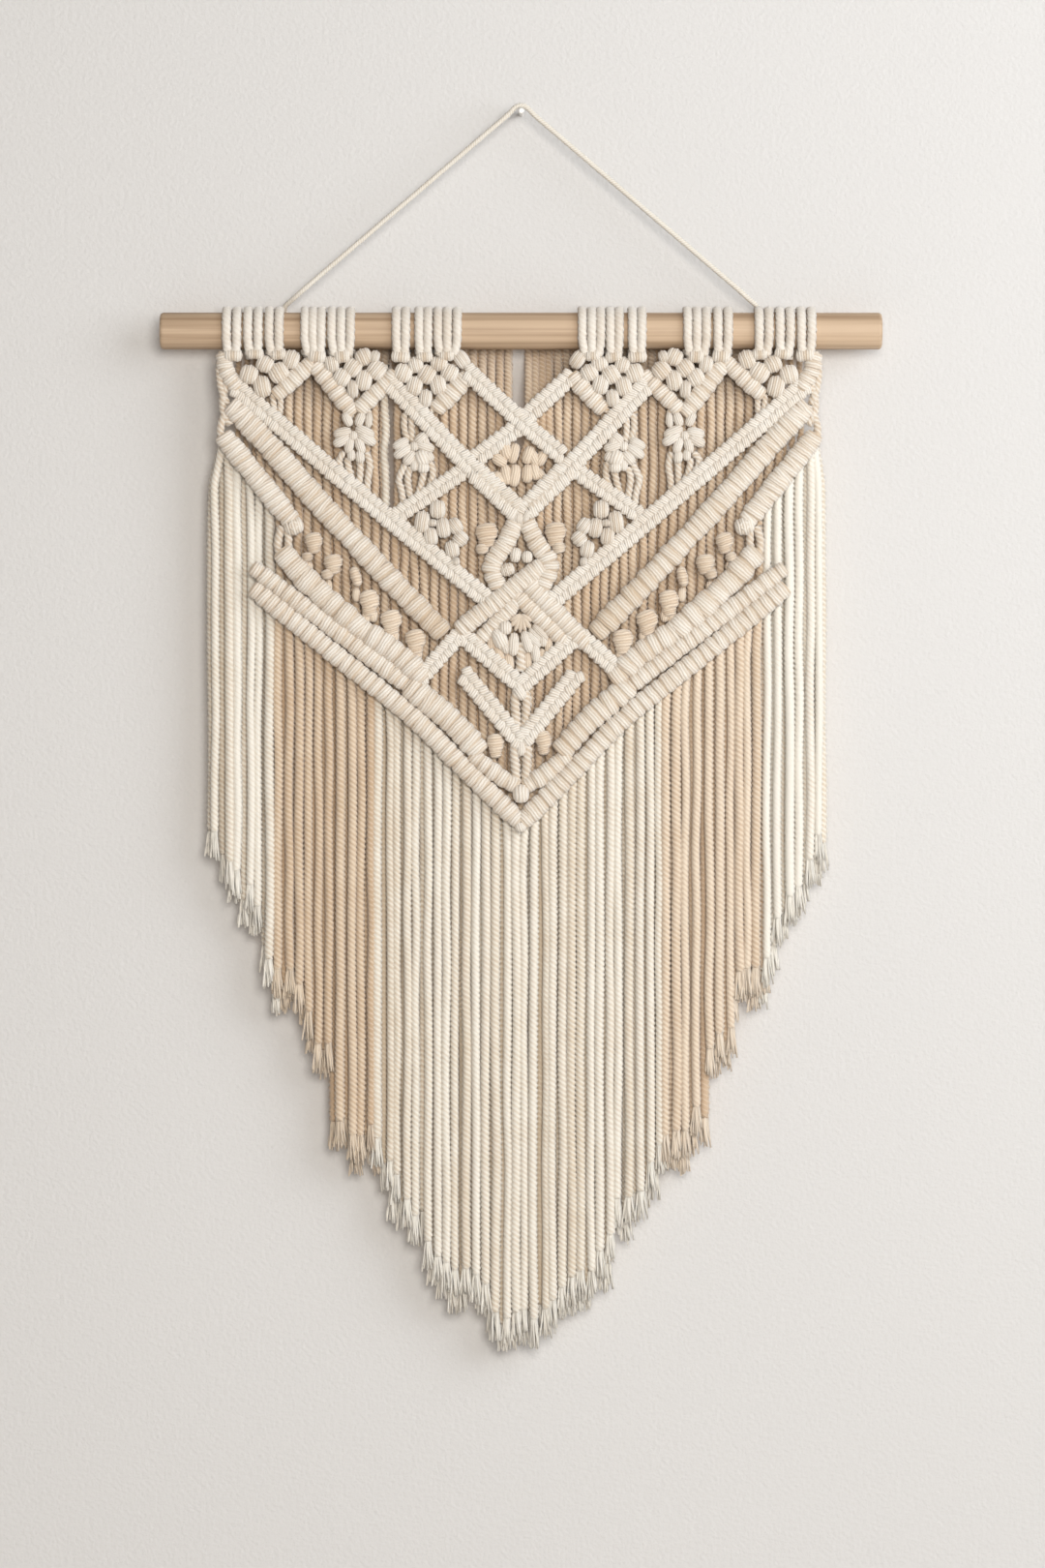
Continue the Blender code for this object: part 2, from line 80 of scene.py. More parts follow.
print(f"dowel {ROD_LENGTH * 1000:.0f} mm long, {ROD_R * 2000:.1f} mm thick, at z {ROD_Z * 1000:.0f} mm")

# %% [markdown]
# ## The camera
#
# A long lens from far away keeps the bars straight and the fringe parallel. The height of the
# view is a real length, so the lens follows from it and from the distance.

# %% Camera
VIEW_TALL = 955.8 * MM
VIEW_X, VIEW_Z = 0.9 * MM, -411.8 * MM
CAMERA_AWAY = 4.0
SENSOR = 36.0
camera_data = bpy.data.cameras.new("camera")
camera_data.sensor_fit = "VERTICAL"
camera_data.sensor_height = SENSOR
camera_data.lens = SENSOR * CAMERA_AWAY / VIEW_TALL
camera = bpy.data.objects.new("camera", camera_data)
bpy.context.scene.collection.objects.link(camera)
camera.location = (VIEW_X, -CAMERA_AWAY, VIEW_Z)
camera.rotation_euler = (math.pi / 2, 0, 0)
bpy.context.scene.camera = camera
print(f"lens {camera_data.lens:.0f} mm")

# %% [markdown]
# ## Shapes as arrays
#
# There are thousands of turns of cord here. A shape is made once and then kept as arrays: its
# points, its faces, a UV that counts the threads, and how much painted shade each point gets for
# lying in a groove. Copies are moved in numpy, which is quick, and each finished piece is one mesh.

# %% Shape helpers
THREAD = 1.9 * MM  # one thread line to the next


def read_shape(obj, axis, lines):
    """A modelled object as arrays. Its thread lines are counted along one of its axes."""
    mesh = obj.data
    points = np.array([vert.co[:] for vert in mesh.vertices])
    loops = np.array([loop.vertex_index for loop in mesh.loops])
    sizes = np.array([face.loop_total for face in mesh.polygons])
    bpy.data.objects.remove(obj)
    corners = points[loops]
    uv = np.stack([corners[:, axis] * lines, corners[:, (axis + 1) % 3]], axis=1)
    return {"points": points, "loops": loops, "sizes": sizes, "uv": uv, "groove": np.zeros(len(points))}


def stamp(shape, centre, axes, shade=0.0, threads=1.0):
    """A copy whose own X, Y and Z become the three axes, which may be longer or shorter."""
    points = shape["points"] @ np.array([list(axis) for axis in axes]) + np.array(centre)
    return {**shape, "points": points, "shade": shade, "uv": shape["uv"] * (threads, 1.0)}


def make_piece(name, shapes, finish, *nodes, slot="cream_cotton"):
    """One object of all the shapes. It stands for the given solids."""
    counts = np.array([len(s["points"]) for s in shapes])
    starts = np.cumsum(counts) - counts
    words = ("points", "sizes", "uv", "groove")
    points, sizes, uv, groove = (np.concatenate([s[word] for s in shapes]) for word in words)
    loops = np.concatenate([s["loops"] + start for s, start in zip(shapes, starts)])
    mesh = bpy.data.meshes.new(name)
    mesh.vertices.add(len(points))
    mesh.vertices.foreach_set("co", points.ravel())
    mesh.loops.add(len(loops))
    mesh.loops.foreach_set("vertex_index", loops)
    mesh.polygons.add(len(sizes))
    mesh.polygons.foreach_set("loop_start", np.cumsum(sizes) - sizes)
    mesh.polygons.foreach_set("use_smooth", np.ones(len(sizes), bool))
    mesh.uv_layers.new(name="threads").data.foreach_set("uv", uv.ravel())
    values = {
        "groove": groove,
        "shade": np.repeat([s.get("shade", 0.0) for s in shapes], counts),
        "lines": np.repeat([s.get("lines", 1.0) for s in shapes], counts),
    }
    for word, numbers in values.items():
        mesh.attributes.new(word, "FLOAT", "POINT").data.foreach_set("value", numbers)
    mesh.update(calc_edges=True)
    mesh.materials.append(finish)
    piece = bpy.data.objects.new(name, mesh)
    bpy.context.scene.collection.objects.link(piece)
    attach(piece, "root")
    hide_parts(*nodes)
    print(f"{name}: {len(shapes)} shapes, {int((sizes - 2).sum())} triangles")
    return piece


# %% [markdown]
# ## Laid cord
#
# Cotton macrame cord is three plies laid round each other, which leaves slanting marks down its
# front. A round tube with a bump texture would look printed, so the cord is given a section with
# three plies and three grooves, and each ring along it is turned a little further than the last.
# The marks of this cord fall to the right, which is the left-handed lay that spinners call S.

# %% Routes


def even_route(points, step):
    """The same line with its points a step apart."""
    points = np.array([list(p) for p in points], float)
    runs = np.linalg.norm(np.diff(points, axis=0), axis=1)
    along = np.concatenate([[0.0], np.cumsum(runs)])
    count = max(2, round(along[-1] / step)) + 1
    places = np.linspace(0.0, along[-1], count)
    return np.stack([np.interp(places, along, points[:, k]) for k in range(3)], axis=1)


def smooth_route(points, per_run):
    """A Catmull-Rom curve through the points, with per_run steps between each two."""
    ends = [points[0] * 2 - points[1]] + list(points) + [points[-1] * 2 - points[-2]]
    out = []
    for a, b, c, d in zip(ends, ends[1:], ends[2:], ends[3:]):
        for k in range(per_run):
            t = k / per_run
            cubic = 3 * b - a - 3 * c + d
            square = 2 * a - 5 * b + 4 * c - d
            out.append(0.5 * (2 * b + (c - a) * t + square * t * t + cubic * t ** 3))
    return out + [points[-1]]


def carried_sides(route):
    """The directions along the cord and across it, carried along without turning."""
    ahead = np.gradient(route, axis=0)
    ahead /= np.linalg.norm(ahead, axis=1)[:, None]
    side = Vector((1, 0, 0)) if abs(ahead[0][0]) < 0.9 else Vector((0, 0, 1))
    sides = []
    for direction in map(Vector, ahead):
        side = (side - direction * side.dot(direction)).normalized()
        sides.append(list(side))
    return ahead, np.array(sides)


# %% Laid cord
PLIES = 3
CORNERS = 2 * PLIES
LAY = 9.4 * MM  # one full turn of the plies
THREADS_ROUND = 9
GROOVE_DEPTH = 0.72  # a groove's distance from the middle, as a share of the ply's
# a soft cord's grooves get less painted shade
SOFT_DEPTH, SOFT_DARK = 0.97, 0.75  # the same in a soft cord, and how much its grooves pale
CORD_LINES = 0.35  # how strongly the thread lines show on it


def ring_faces(rings, corners, threads, step):
    """Faces between rings of corners, two end caps, and a UV of threads round and turns along."""
    ring, corner = np.mgrid[0:rings - 1, 0:corners]
    turns = ((0, 0), (1, 0), (1, 1), (0, 1))
    quads = [(ring + a) * corners + (corner + b) % corners for a, b in turns]
    uv = [np.stack([(corner + b) * threads / corners, (ring + a) * step], -1) for a, b in turns]
    first = np.arange(corners)
    last = (rings - 1) * corners + first[::-1]
    loops = np.concatenate([np.stack(quads, -1).ravel(), first, last])
    sizes = np.array([4] * len(ring) * corners + [corners, corners])
    return loops, sizes, np.concatenate([np.stack(uv, 2).reshape(-1, 2), np.zeros((2 * corners, 2))])


def laid_cord(points, radius, per_lay=5, shade=0.0, turn=0.0, lay=LAY, flat=1.0, soft=0.0, ends=None):
    """A three-ply cord along a line of points.

    flat presses it thinner front to back, soft fills its grooves, from 0 to 1, and ends is its
    size at its first two and its last two stretches.
    """
    route = even_route(points, lay / per_lay)
    ahead, sides = carried_sides(route)
    depths = np.cross(sides, ahead) * flat
    rings = len(route)
    angle = turn + 2 * math.pi * (np.arange(rings)[:, None] / per_lay)
    angle = angle + 2 * math.pi * np.arange(CORNERS)[None, :] / CORNERS
    is_groove = np.arange(CORNERS) % 2
    hollow = GROOVE_DEPTH + (SOFT_DEPTH - GROOVE_DEPTH) * soft
    size = radius * np.where(is_groove, hollow, 1.0)[None, :]
    if ends:
        size = size * np.interp(np.arange(rings), (0, 2, rings - 3, rings - 1), ends)[:, None]
    offset = sides[:, None, :] * (np.cos(angle) * size)[..., None]
    offset = offset + depths[:, None, :] * (np.sin(angle) * size)[..., None]
    loops, sizes, uv = ring_faces(rings, CORNERS, THREADS_ROUND, 1 / per_lay)
    return {
        "points": (route[:, None, :] + offset).reshape(-1, 3),
        "loops": loops,
        "sizes": sizes,
        "uv": uv,
        # painted shade: the grooves between the plies are darker, less so in a soft cord
        "groove": np.tile(is_groove * (1 - SOFT_DARK * soft), rings),
        "shade": shade,
        "lines": CORD_LINES,
    }


# %% [markdown]
# ## Cotton
#
# Every cord shares one kind of finish, in four tones. Fine threads run along the cord, so they are
# drawn on the UV, where the first number counts them, as a bump and as painted shade in the
# valleys between them. Fuzz softens the light between them, the tone wanders from cord to cord,
# and the grooves are painted darker and warmer: painted shade, warm as light that goes into cotton
# comes out warmer. An image of cotton would repeat and blur. A node group does neither, and all four
# tones use it. Sheen, which makes cloth look soft at its edges, belongs to the shader itself.

# %% Node helpers


def add_node(tree, kind, inputs=(), **settings):
    """A node with its settings. Each input is a value or the socket that feeds it."""
    node = tree.nodes.new("ShaderNode" + kind)
    for name, value in settings.items():
        setattr(node, name, value)
    for name, value in dict(inputs).items():
        if isinstance(value, bpy.types.NodeSocket):
            tree.links.new(value, node.inputs[name])
        else:
            node.inputs[name].default_value = value
    return node


def math_node(tree, operation, *values):
    return add_node(tree, "Math", enumerate(values), operation=operation).outputs[0]


def noise_node(tree, coordinates, scale, detail=2.0):
    inputs = {"Vector": coordinates, "Scale": scale, "Detail": detail}
    return add_node(tree, "TexNoise", inputs).outputs["Fac"]


def mix_colours(tree, share, first, second):
    """A Mix node for colours: its inputs 6 and 7 and its output 2 are the coloured ones."""
    inputs = {0: share, 6: first, 7: second}
    return add_node(tree, "Mix", inputs, data_type="RGBA", clamp_factor=True).outputs[2]


def attribute_node(tree, name):
    return add_node(tree, "Attribute", attribute_name=name).outputs["Fac"]


def object_places(tree):
    return add_node(tree, "TexCoord").outputs["Object"]


def new_group(name, **inputs):
    """A node group with these inputs that puts out a colour and a height."""
    group = bpy.data.node_groups.new(name, "ShaderNodeTree")
    for word, value in inputs.items():
        kind = "NodeSocketFloat" if isinstance(value, float) else "NodeSocketColor"
        socket = group.interface.new_socket(name=word, in_out="INPUT", socket_type=kind)
        socket.default_value = value
    for word, kind in (("Color", "NodeSocketColor"), ("Height", "NodeSocketFloat")):
        group.interface.new_socket(name=word, in_out="OUTPUT", socket_type=kind)
    return group, group.nodes.new("NodeGroupInput").outputs


def close_group(group, colour, height):
    end = group.nodes.new("NodeGroupOutput")
    group.links.new(colour, end.inputs["Color"])
    group.links.new(height, end.inputs["Height"])
    return group


# %% Cotton node group
WANDER, TONE, FUZZ = 160.0, 60.0, 1500.0  # how fine the noises are, per metre


def cotton_group():
    """Threads, fuzz, colour that wanders, and painted shade in the grooves and between the threads.
    tone_and_shade moves the colour from Light to Warm.
    """
    light, warm = (0.8, 0.75, 0.68, 1), (0.6, 0.5, 0.4, 1)
    group, start = new_group("cotton_threads", Light=light, Warm=warm, Groove=0.5)

    def calc(operation, *values):
        return math_node(group, operation, *values)

    places = object_places(group)
    threads = add_node(group, "UVMap", uv_map="threads").outputs["UV"]
    count = add_node(group, "SeparateXYZ", {0: threads}).outputs["X"]
    wander = calc("MULTIPLY", noise_node(group, places, WANDER), 0.9)
    turns = calc("MULTIPLY", calc("ADD", count, wander), 2 * math.pi)
    ridge = calc("POWER", calc("MULTIPLY_ADD", calc("SINE", turns), 0.5, 0.5), 0.6)
    # the valleys between threads: a bump, and painted shade in the colour
    hollow = calc("MULTIPLY", calc("SUBTRACT", 1.0, ridge), attribute_node(group, "lines"))
    fuzz = noise_node(group, places, FUZZ, 4.0)
    tone_and_shade = calc("MULTIPLY_ADD", noise_node(group, places, TONE), 0.6, -0.25)
    tone_and_shade = calc("ADD", tone_and_shade, attribute_node(group, "shade"))
    # painted shade in the grooves between plies and between turns
    tone_and_shade = calc("MULTIPLY_ADD", attribute_node(group, "groove"), start["Groove"], tone_and_shade)
    tone_and_shade = calc("MULTIPLY_ADD", hollow, 0.5, tone_and_shade)
    tone_and_shade = calc("ADD", tone_and_shade, calc("MULTIPLY_ADD", fuzz, 0.6, -0.3))
    colour = mix_colours(group, tone_and_shade, start["Light"], start["Warm"])
    height = calc("MULTIPLY_ADD", hollow, -1.0, calc("MULTIPLY", fuzz, 0.6))
    return close_group(group, colour, height)


COTTON = cotton_group()
print("group:", COTTON.name)

# %% Cotton finishes


def new_finish(name, roughness, specular):
    """A material with a plain Principled shader, and its tree."""
    finish = bpy.data.materials.new(name)
    finish.use_nodes = True
    shader = finish.node_tree.nodes["Principled BSDF"]
    shader.inputs["Roughness"].default_value = roughness
    shader.inputs["Specular IOR Level"].default_value = specular
    return finish, finish.node_tree, shader


def add_look(tree, shader, colour, height, strength, depth):
    """Feeds the shader its colour, and a bump of a strength and a depth in metres."""
    inputs = {"Strength": strength, "Distance": depth, "Height": height}
    bump = add_node(tree, "Bump", inputs)
    tree.links.new(colour, shader.inputs["Base Color"])
    tree.links.new(bump.outputs["Normal"], shader.inputs["Normal"])


def cotton_finish(name, light, warm, groove):
    finish, tree, shader = new_finish(name, roughness=0.92, specular=0.15)
    shader.inputs["Sheen Weight"].default_value = 0.5
    shader.inputs["Sheen Roughness"].default_value = 0.5
    inputs = {"Light": (*light, 1), "Warm": (*warm, 1), "Groove": groove}
    cotton = add_node(tree, "Group", inputs, node_tree=COTTON).outputs
    add_look(tree, shader, cotton["Color"], cotton["Height"], strength=0.6, depth=0.7 * MM)
    return finish


# the last number: how strongly the grooves are painted darker, as painted shade
CREAM = cotton_finish("cream_cotton", (0.775, 0.722, 0.648), (0.556, 0.431, 0.307), 0.9)
SOFT_CREAM = cotton_finish("cream_fringe", (0.80, 0.752, 0.668), (0.594, 0.482, 0.353), 0.8)
TAN = cotton_finish("tan_cotton", (0.712, 0.587, 0.45), (0.516, 0.367, 0.239), 1.0)
PALE_TAN = cotton_finish("pale_tan_cotton", (0.755, 0.638, 0.508), (0.555, 0.407, 0.278), 1.0)
print("cottons:", [finish.name for finish in (CREAM, SOFT_CREAM, TAN, PALE_TAN)])

# %% [markdown]
# ## The hanger cord
#
# A thin cord is tied round the dowel at each side and runs up over the nail. It is the only free
# cord of the hanging, so its route is set first, point by point: from under the dowel, up behind
# it, along the left leg, over the nail, and the same way down again. The weight of the hanging
# keeps its legs straight.

# %% Hanger cord
HANGER_R = 1.75 * MM
HANGER_X = -24.1 * PITCH
HANGER_TURN = (
    # degrees from the dowel's top, backwards, then how far from its middle and further out in mm
    (188, 13.9, 0.0), (160, 13.9, 0.0), (132, 13.9, 0.0), (104, 14.1, 0.2), (76, 15.3, 1.0),
    (50, 16.9, 2.0),
)
HANGER_RISE = 0.855  # how far a leg goes up for each step across
HANGER_CROWN = 1.2 * MM
HANGER_LAY = 5.2 * MM
HANGER_PALE = -0.4  # paler than the fringe
HANGER_LEG = (
    # along a leg: the share of its reach across, and Y in mm
    (1.012, 8.0), (0.98, 3.6), (0.94, 0.8), (0.88, 0.0), (0.75, 0.0), (0.60, 0.0), (0.45, 0.0),
    (0.30, 0.0), (0.15, 0.0), (0.06, 0.0),
)
BEND_X, BEND_Z = -3.4 * MM, -1.0 * MM  # beside the nail, from the top of the bend


def hanger_route():
    half = []
    for degrees, away, beside in HANGER_TURN:
        turn = math.radians(degrees)
        y, z = away * MM * math.sin(turn), ROD_Z + away * MM * math.cos(turn)
        half.append(Vector((HANGER_X - beside * MM, y, z)))
    for share, y in HANGER_LEG:
        z = HANGER_R + HANGER_CROWN + HANGER_X * share * HANGER_RISE
        half.append(Vector((HANGER_X * share, y * MM, z)))
    half.append(Vector((BEND_X, 0.0, HANGER_R + BEND_Z)))
    other = [Vector((-p.x, p.y, p.z)) for p in reversed(half)]
    return half + [Vector((0.0, 0.0, HANGER_R))] + other


hanger_line = even_route(smooth_route(hanger_route(), 8), HANGER_LAY / 5)
hanger = make_piece(
    "hanger_cord_laid",
    [laid_cord(hanger_line, HANGER_R * 1.1, shade=HANGER_PALE, lay=HANGER_LAY)],
    SOFT_CREAM,
    "hanger_cord",
)

# %% [markdown]
# ## The dowel
#
# A round wooden rod with eased ends. A cylinder is the right start: its end faces are inset for
# the end grain and their rims are bevelled. The grain is drawn on the object's own coordinates,
# long along the rod and narrow across it, as rings of growth cut lengthwise look.

# %% Modelling helpers


def deselect_all():
    for obj in bpy.context.selected_objects:
        obj.select_set(False)


def start_from(add, **settings):
    """A new primitive, alone in the selection, with its place in its mesh."""
    deselect_all()
    add(**settings)
    bpy.ops.object.transform_apply(location=True, rotation=True, scale=True)
    return bpy.context.object


def edit(obj, mode="FACE"):
    """Gets an object ready for edit mode, with nothing of it selected."""
    bpy.context.view_layer.objects.active = obj
    obj.select_set(True)
    bpy.ops.object.mode_set(mode="EDIT")
    bpy.ops.mesh.select_mode(type=mode)
    bpy.ops.mesh.select_all(action="DESELECT")
    bpy.ops.object.mode_set(mode="OBJECT")


def select_where(obj, kind, test):
    """Selects the faces or vertices that pass a test, in edit mode."""
    if bpy.context.object.mode == "EDIT":
        bpy.ops.object.mode_set(mode="OBJECT")
    for items in (obj.data.polygons, obj.data.edges, obj.data.vertices):
        items.foreach_set("select", [False] * len(items))
    for item in obj.data.polygons if kind == "FACE" else obj.data.vertices:
        item.select = test(item)
    bpy.ops.object.mode_set(mode="EDIT")


def settle(obj):
    """Leaves edit mode and puts the object's place into its mesh."""
    if bpy.context.object and bpy.context.object.mode == "EDIT":
        bpy.ops.object.mode_set(mode="OBJECT")
    bpy.ops.object.transform_apply(location=True, rotation=True, scale=True)
    obj.select_set(False)


def settle_smooth(obj, degrees):
    """Settles an object and smooths it, apart from edges sharper than this."""
    settle(obj)
    obj.select_set(True)
    bpy.ops.object.shade_smooth_by_angle(angle=math.radians(degrees))
    obj.select_set(False)


# %% Wood finish
GRAINS = ((3.5, 300.0), (14.0, 900.0), (2.0, 70.0))  # streaks, pores and bands: along and across


def wood_group():
    light, dark = (0.7, 0.5, 0.3, 1), (0.5, 0.33, 0.18, 1)
    group, start = new_group("wood_grain", Light=light, Dark=dark)
    places = object_places(group)
    noises = []
    for along, across in GRAINS:
        inputs = {"Vector": places, "Scale": (along, across, across)}
        stretched = add_node(group, "Mapping", inputs).outputs["Vector"]
        noises.append(noise_node(group, stretched, 1.0, 3.0))
    streaks, pores, bands = noises
    mixed = math_node(group, "MULTIPLY_ADD", streaks, 3.4, -2.05)
    mixed = math_node(group, "MULTIPLY_ADD", bands, 1.6, mixed)
    fine = math_node(group, "MULTIPLY_ADD", pores, 0.5, -0.22)
    mixed = math_node(group, "ADD", mixed, fine)
    colour = mix_colours(group, mixed, start["Light"], start["Dark"])
    low = math_node(group, "MULTIPLY", streaks, 0.4)
    return close_group(group, colour, math_node(group, "MULTIPLY_ADD", pores, 0.6, low))


def wood_finish():
    finish, tree, shader = new_finish("pale_wood", roughness=0.6, specular=0.35)
    inputs = {"Light": (0.53, 0.385, 0.26, 1), "Dark": (0.33, 0.22, 0.135, 1)}
    grain = add_node(tree, "Group", inputs, node_tree=wood_group()).outputs
    add_look(tree, shader, grain["Color"], grain["Height"], strength=0.35, depth=0.4 * MM)
    return finish


PALE_WOOD = wood_finish()
print("wood:", PALE_WOOD.name)

# %% Dowel
ROD_SIDES = 64
ROD_CHAMFER = 2.2 * MM
END_RINGS = (0.35, 0.2)  # how far each ring of the end grain is inset, as a share of the radius
dowel = start_from(
    bpy.ops.mesh.primitive_cylinder_add, vertices=ROD_SIDES, radius=ROD_R, depth=ROD_LENGTH,
    location=(0, 0, ROD_Z), rotation=(0, math.pi / 2, 0), end_fill_type="NGON",
)
dowel.name = "dowel_turned"
edit(dowel)
select_where(dowel, "FACE", lambda face: abs(face.normal.x) > 0.9)
bpy.ops.mesh.bevel(offset=ROD_CHAMFER, segments=3, affect="EDGES")
select_where(dowel, "FACE", lambda face: abs(face.normal.x) > 0.99)
for share in END_RINGS:
    bpy.ops.mesh.inset(thickness=ROD_R * share)
settle_smooth(dowel, 40)
dowel.data.materials.append(PALE_WOOD)
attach(dowel, "root")
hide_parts("dowel_rod")
print("dowel faces:", len(dowel.data.polygons))

# %% [markdown]
# ## The nail
#
# A small round-headed nail holds the hanger. Its shaft is a thin cylinder, and the head grows
# from the front face by extruding and scaling, as a blacksmith would upset it.

# %% Nail
nail_low, nail_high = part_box("wall_nail")
NAIL_R = 1.3 * MM
HEAD_R = (nail_high.x - nail_low.x) / 2
NAIL_Z = (nail_high.z + nail_low.z) / 2
HEAD_THICK = 1.0 * MM
# each step of the head: how far it goes forward, and its size compared with the step before
HEAD_STEPS = ((0.0, HEAD_R / NAIL_R), (-0.5, 1.0), (-0.35, 0.8), (-0.15, 0.55))
nail_back, nail_front = nail_high.y, nail_low.y + HEAD_THICK
nail = start_from(
    bpy.ops.mesh.primitive_cylinder_add, vertices=20, radius=NAIL_R, depth=nail_back - nail_front,
    location=(0, (nail_back + nail_front) / 2, NAIL_Z), rotation=(math.pi / 2, 0, 0),
)
nail.name = "nail_round_head"
edit(nail)
select_where(nail, "FACE", lambda face: face.normal.y < -0.9)
for forward, size in HEAD_STEPS:
    bpy.ops.mesh.extrude_region_move(TRANSFORM_OT_translate={"value": (0, forward * HEAD_THICK, 0)})
    bpy.ops.transform.resize(value=(size, 1, size))
select_where(nail, "FACE", lambda face: face.normal.y > 0.9 and face.center.y > nail_back - MM)
bpy.ops.mesh.extrude_region_move(TRANSFORM_OT_translate={"value": (0, 0, 0)})
bpy.ops.transform.resize(value=(0.4, 1, 0.4))
settle_smooth(nail, 50)


def nail_finish():
    finish, tree, shader = new_finish("nail_steel", roughness=0.42, specular=0.5)
    shader.inputs["Metallic"].default_value = 0.35
    dull = noise_node(tree, object_places(tree), 900.0)
    colour = mix_colours(tree, dull, (0.80, 0.78, 0.74, 1), (0.58, 0.56, 0.53, 1))
    add_look(tree, shader, colour, dull, strength=0.2, depth=0.2 * MM)
    return finish


nail.data.materials.append(nail_finish())
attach(nail, "root")
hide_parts("wall_nail")
print("nail faces:", len(nail.data.polygons))

# %% [markdown]
# ## Shapes that everything is tied from
#
# Seen from the front, macrame is made of very few shapes. A *turn* is cord wrapped right round
# other cords, and a *hitch* is the fatter turn of a bar. A *lobe* is a short bulge of cord that
# comes up and goes down again. A *knot* is a round lump with a groove where two turns meet, and a
# *bead* is the smallest knot. A *wisp* is one lock of a combed end. Each is modelled once, from a
# sphere, a cube, a torus or a cone, and kept small, because hundreds of copies follow.

# %% Shapes from a sphere


def ball_shape(segments, rings, rows, axis, lines, lying=False):
    """A sphere of radius 1. Each row is a ring's height, and how it is scaled out and up."""
    ball = start_from(
        bpy.ops.mesh.primitive_uv_sphere_add, segments=segments, ring_count=rings, radius=1.0
    )
    edit(ball, "VERT")
    for height, out, up in rows:
        select_where(ball, "VERT", lambda vert: abs(abs(vert.co.z) - height) < 0.02)
        bpy.ops.transform.resize(value=(out, out, up))
    settle(ball)
    if lying:
        ball.select_set(True)
        ball.rotation_euler = (0, math.pi / 2, 0)
        settle(ball)
    return read_shape(ball, axis, lines)


def paint_shade(shape, axis, slope, start, most):
    """Paints shade on the shape: darker towards the ends of its X or Z axis, where it meets the next, or
    towards its back when the axis is Y.
    """
    far = shape["points"][:, axis]
    far = far if axis == 1 else np.abs(far)
    return {**shape, "groove": shape["groove"] + np.clip(far * slope + start, 0, most)}


def knot_shape(rings, rows, parting, darker):
    """A round knot: bands of cord side by side along X, with painted shade towards its back and where
    the bands part.
    """
    shape = paint_shade(ball_shape(12, rings, rows, 0, 3.6, lying=True), 1, 0.8, 0.15, 0.7)
    away = np.abs(np.abs(shape["points"][:, 0]) - parting)
    return {**shape, "groove": shape["groove"] + darker * (away < 0.05)}


# %% Shapes from a cube, a torus and a cone


def bead_shape():
    """One small knot of a sinnet: a cube swollen towards a ball."""
    bead = start_from(bpy.ops.mesh.primitive_cube_add, size=1.8)
    bpy.ops.object.mode_set(mode="EDIT")
    bpy.ops.mesh.select_all(action="SELECT")
    bpy.ops.mesh.subdivide(number_cuts=2)
    bpy.ops.transform.tosphere(value=0.52)
    settle(bead)
    return paint_shade(read_shape(bead, 0, 2.0), 1, 0.8, 0.3, 0.8)


def coil_shape():
    """A ring of cord that faces the front."""
    coil = start_from(
        bpy.ops.mesh.primitive_torus_add, major_segments=16, minor_segments=8, major_radius=0.62,
        minor_radius=0.4, rotation=(math.pi / 2, 0, 0),
    )
    settle(coil)
    return read_shape(coil, 1, 3.0)


def wisp_shape():
    """A lock of combed cotton that hangs down from the origin, one long, with a slight bend."""
    wisp = start_from(
        bpy.ops.mesh.primitive_cone_add, vertices=3, radius1=0.6, radius2=1.0, depth=1.0,
        location=(0, 0, -0.5),
    )
    for height in (-0.35, -0.7):
        edit(wisp)
        select_where(wisp, "FACE", lambda face: True)
        bpy.ops.mesh.bisect(plane_co=(0, 0, height), plane_no=(0, 0, 1))
    for height, push, size in ((-0.35, -0.3, 1.1), (-0.7, 0.3, 1.1), (-1.0, 0.7, 1.0)):
        select_where(wisp, "VERT", lambda vert: abs(vert.co.z - height) < 0.01)
        bpy.ops.transform.translate(value=(push, 0, 0))
        bpy.ops.transform.resize(value=(size, size, 1))
    settle(wisp)
    return {**read_shape(wisp, 0, 1.5), "lines": 0.5}


# %% Unit shapes
# a disc with a rounded rim, a short drum, and a bulge with full ends, all round the Z axis
DISC = ((1.0, 1.0, 0.3), (0.707, 1.27, 1.1))
DRUM = ((1.0, 1.0, 0.94), (0.866, 1.58, 0.99), (0.5, 1.085, 1.06))
BULGE = ((0.866, 1.25, 1.0), (0.5, 1.06, 1.0))
THREE_BANDS = ((0.951, 1.4, 0.98), (0.809, 1.17, 1.0), (0.588, 1.06, 1.0), (0.309, 0.91, 1.0))
TWO_BANDS = ((0.866, 1.5, 0.98), (0.5, 1.11, 1.0), (0.0, 0.86, 1.0))
# each unit shape is painted darker towards its back and where it meets its neighbour: painted shade
TURN = {**paint_shade(ball_shape(12, 4, DISC, 2, 0.5), 2, 1.2, -0.1, 0.85), "lines": 0.0}
HITCH = paint_shade(ball_shape(12, 6, DRUM, 2, 1.0), 2, 1.5, -0.45, 0.9)
BEAD = bead_shape()
LOBE = paint_shade(ball_shape(10, 6, BULGE, 0, 2.4), 1, 0.8, 0.2, 0.7)
LOBE = paint_shade(LOBE, 2, 0.4, -0.24, 0.4)
KNOT = knot_shape(10, THREE_BANDS, 0.309, 0.45)
CLEFT = knot_shape(6, TWO_BANDS, 0.0, 0.7)
COIL = coil_shape()
WISP = wisp_shape()
words = ("turn", "hitch", "bead", "lobe", "knot", "cleft", "coil", "wisp")
for word, shape in zip(words, (TURN, HITCH, BEAD, LOBE, KNOT, CLEFT, COIL, WISP)):
    print(f"{word}: {len(shape['sizes'])} faces, {len(shape['points'])} points")

# %% [markdown]
# ## Heads on the dowel
#
# Each cord is hung on the dowel by its middle: it comes up behind, goes over the top and down the
# front, and a short band of two turns closes each group of loops. A torus could stand for a loop,
# but it has no plies, so a head is a laid cord along its own line round the dowel, pressed flat.

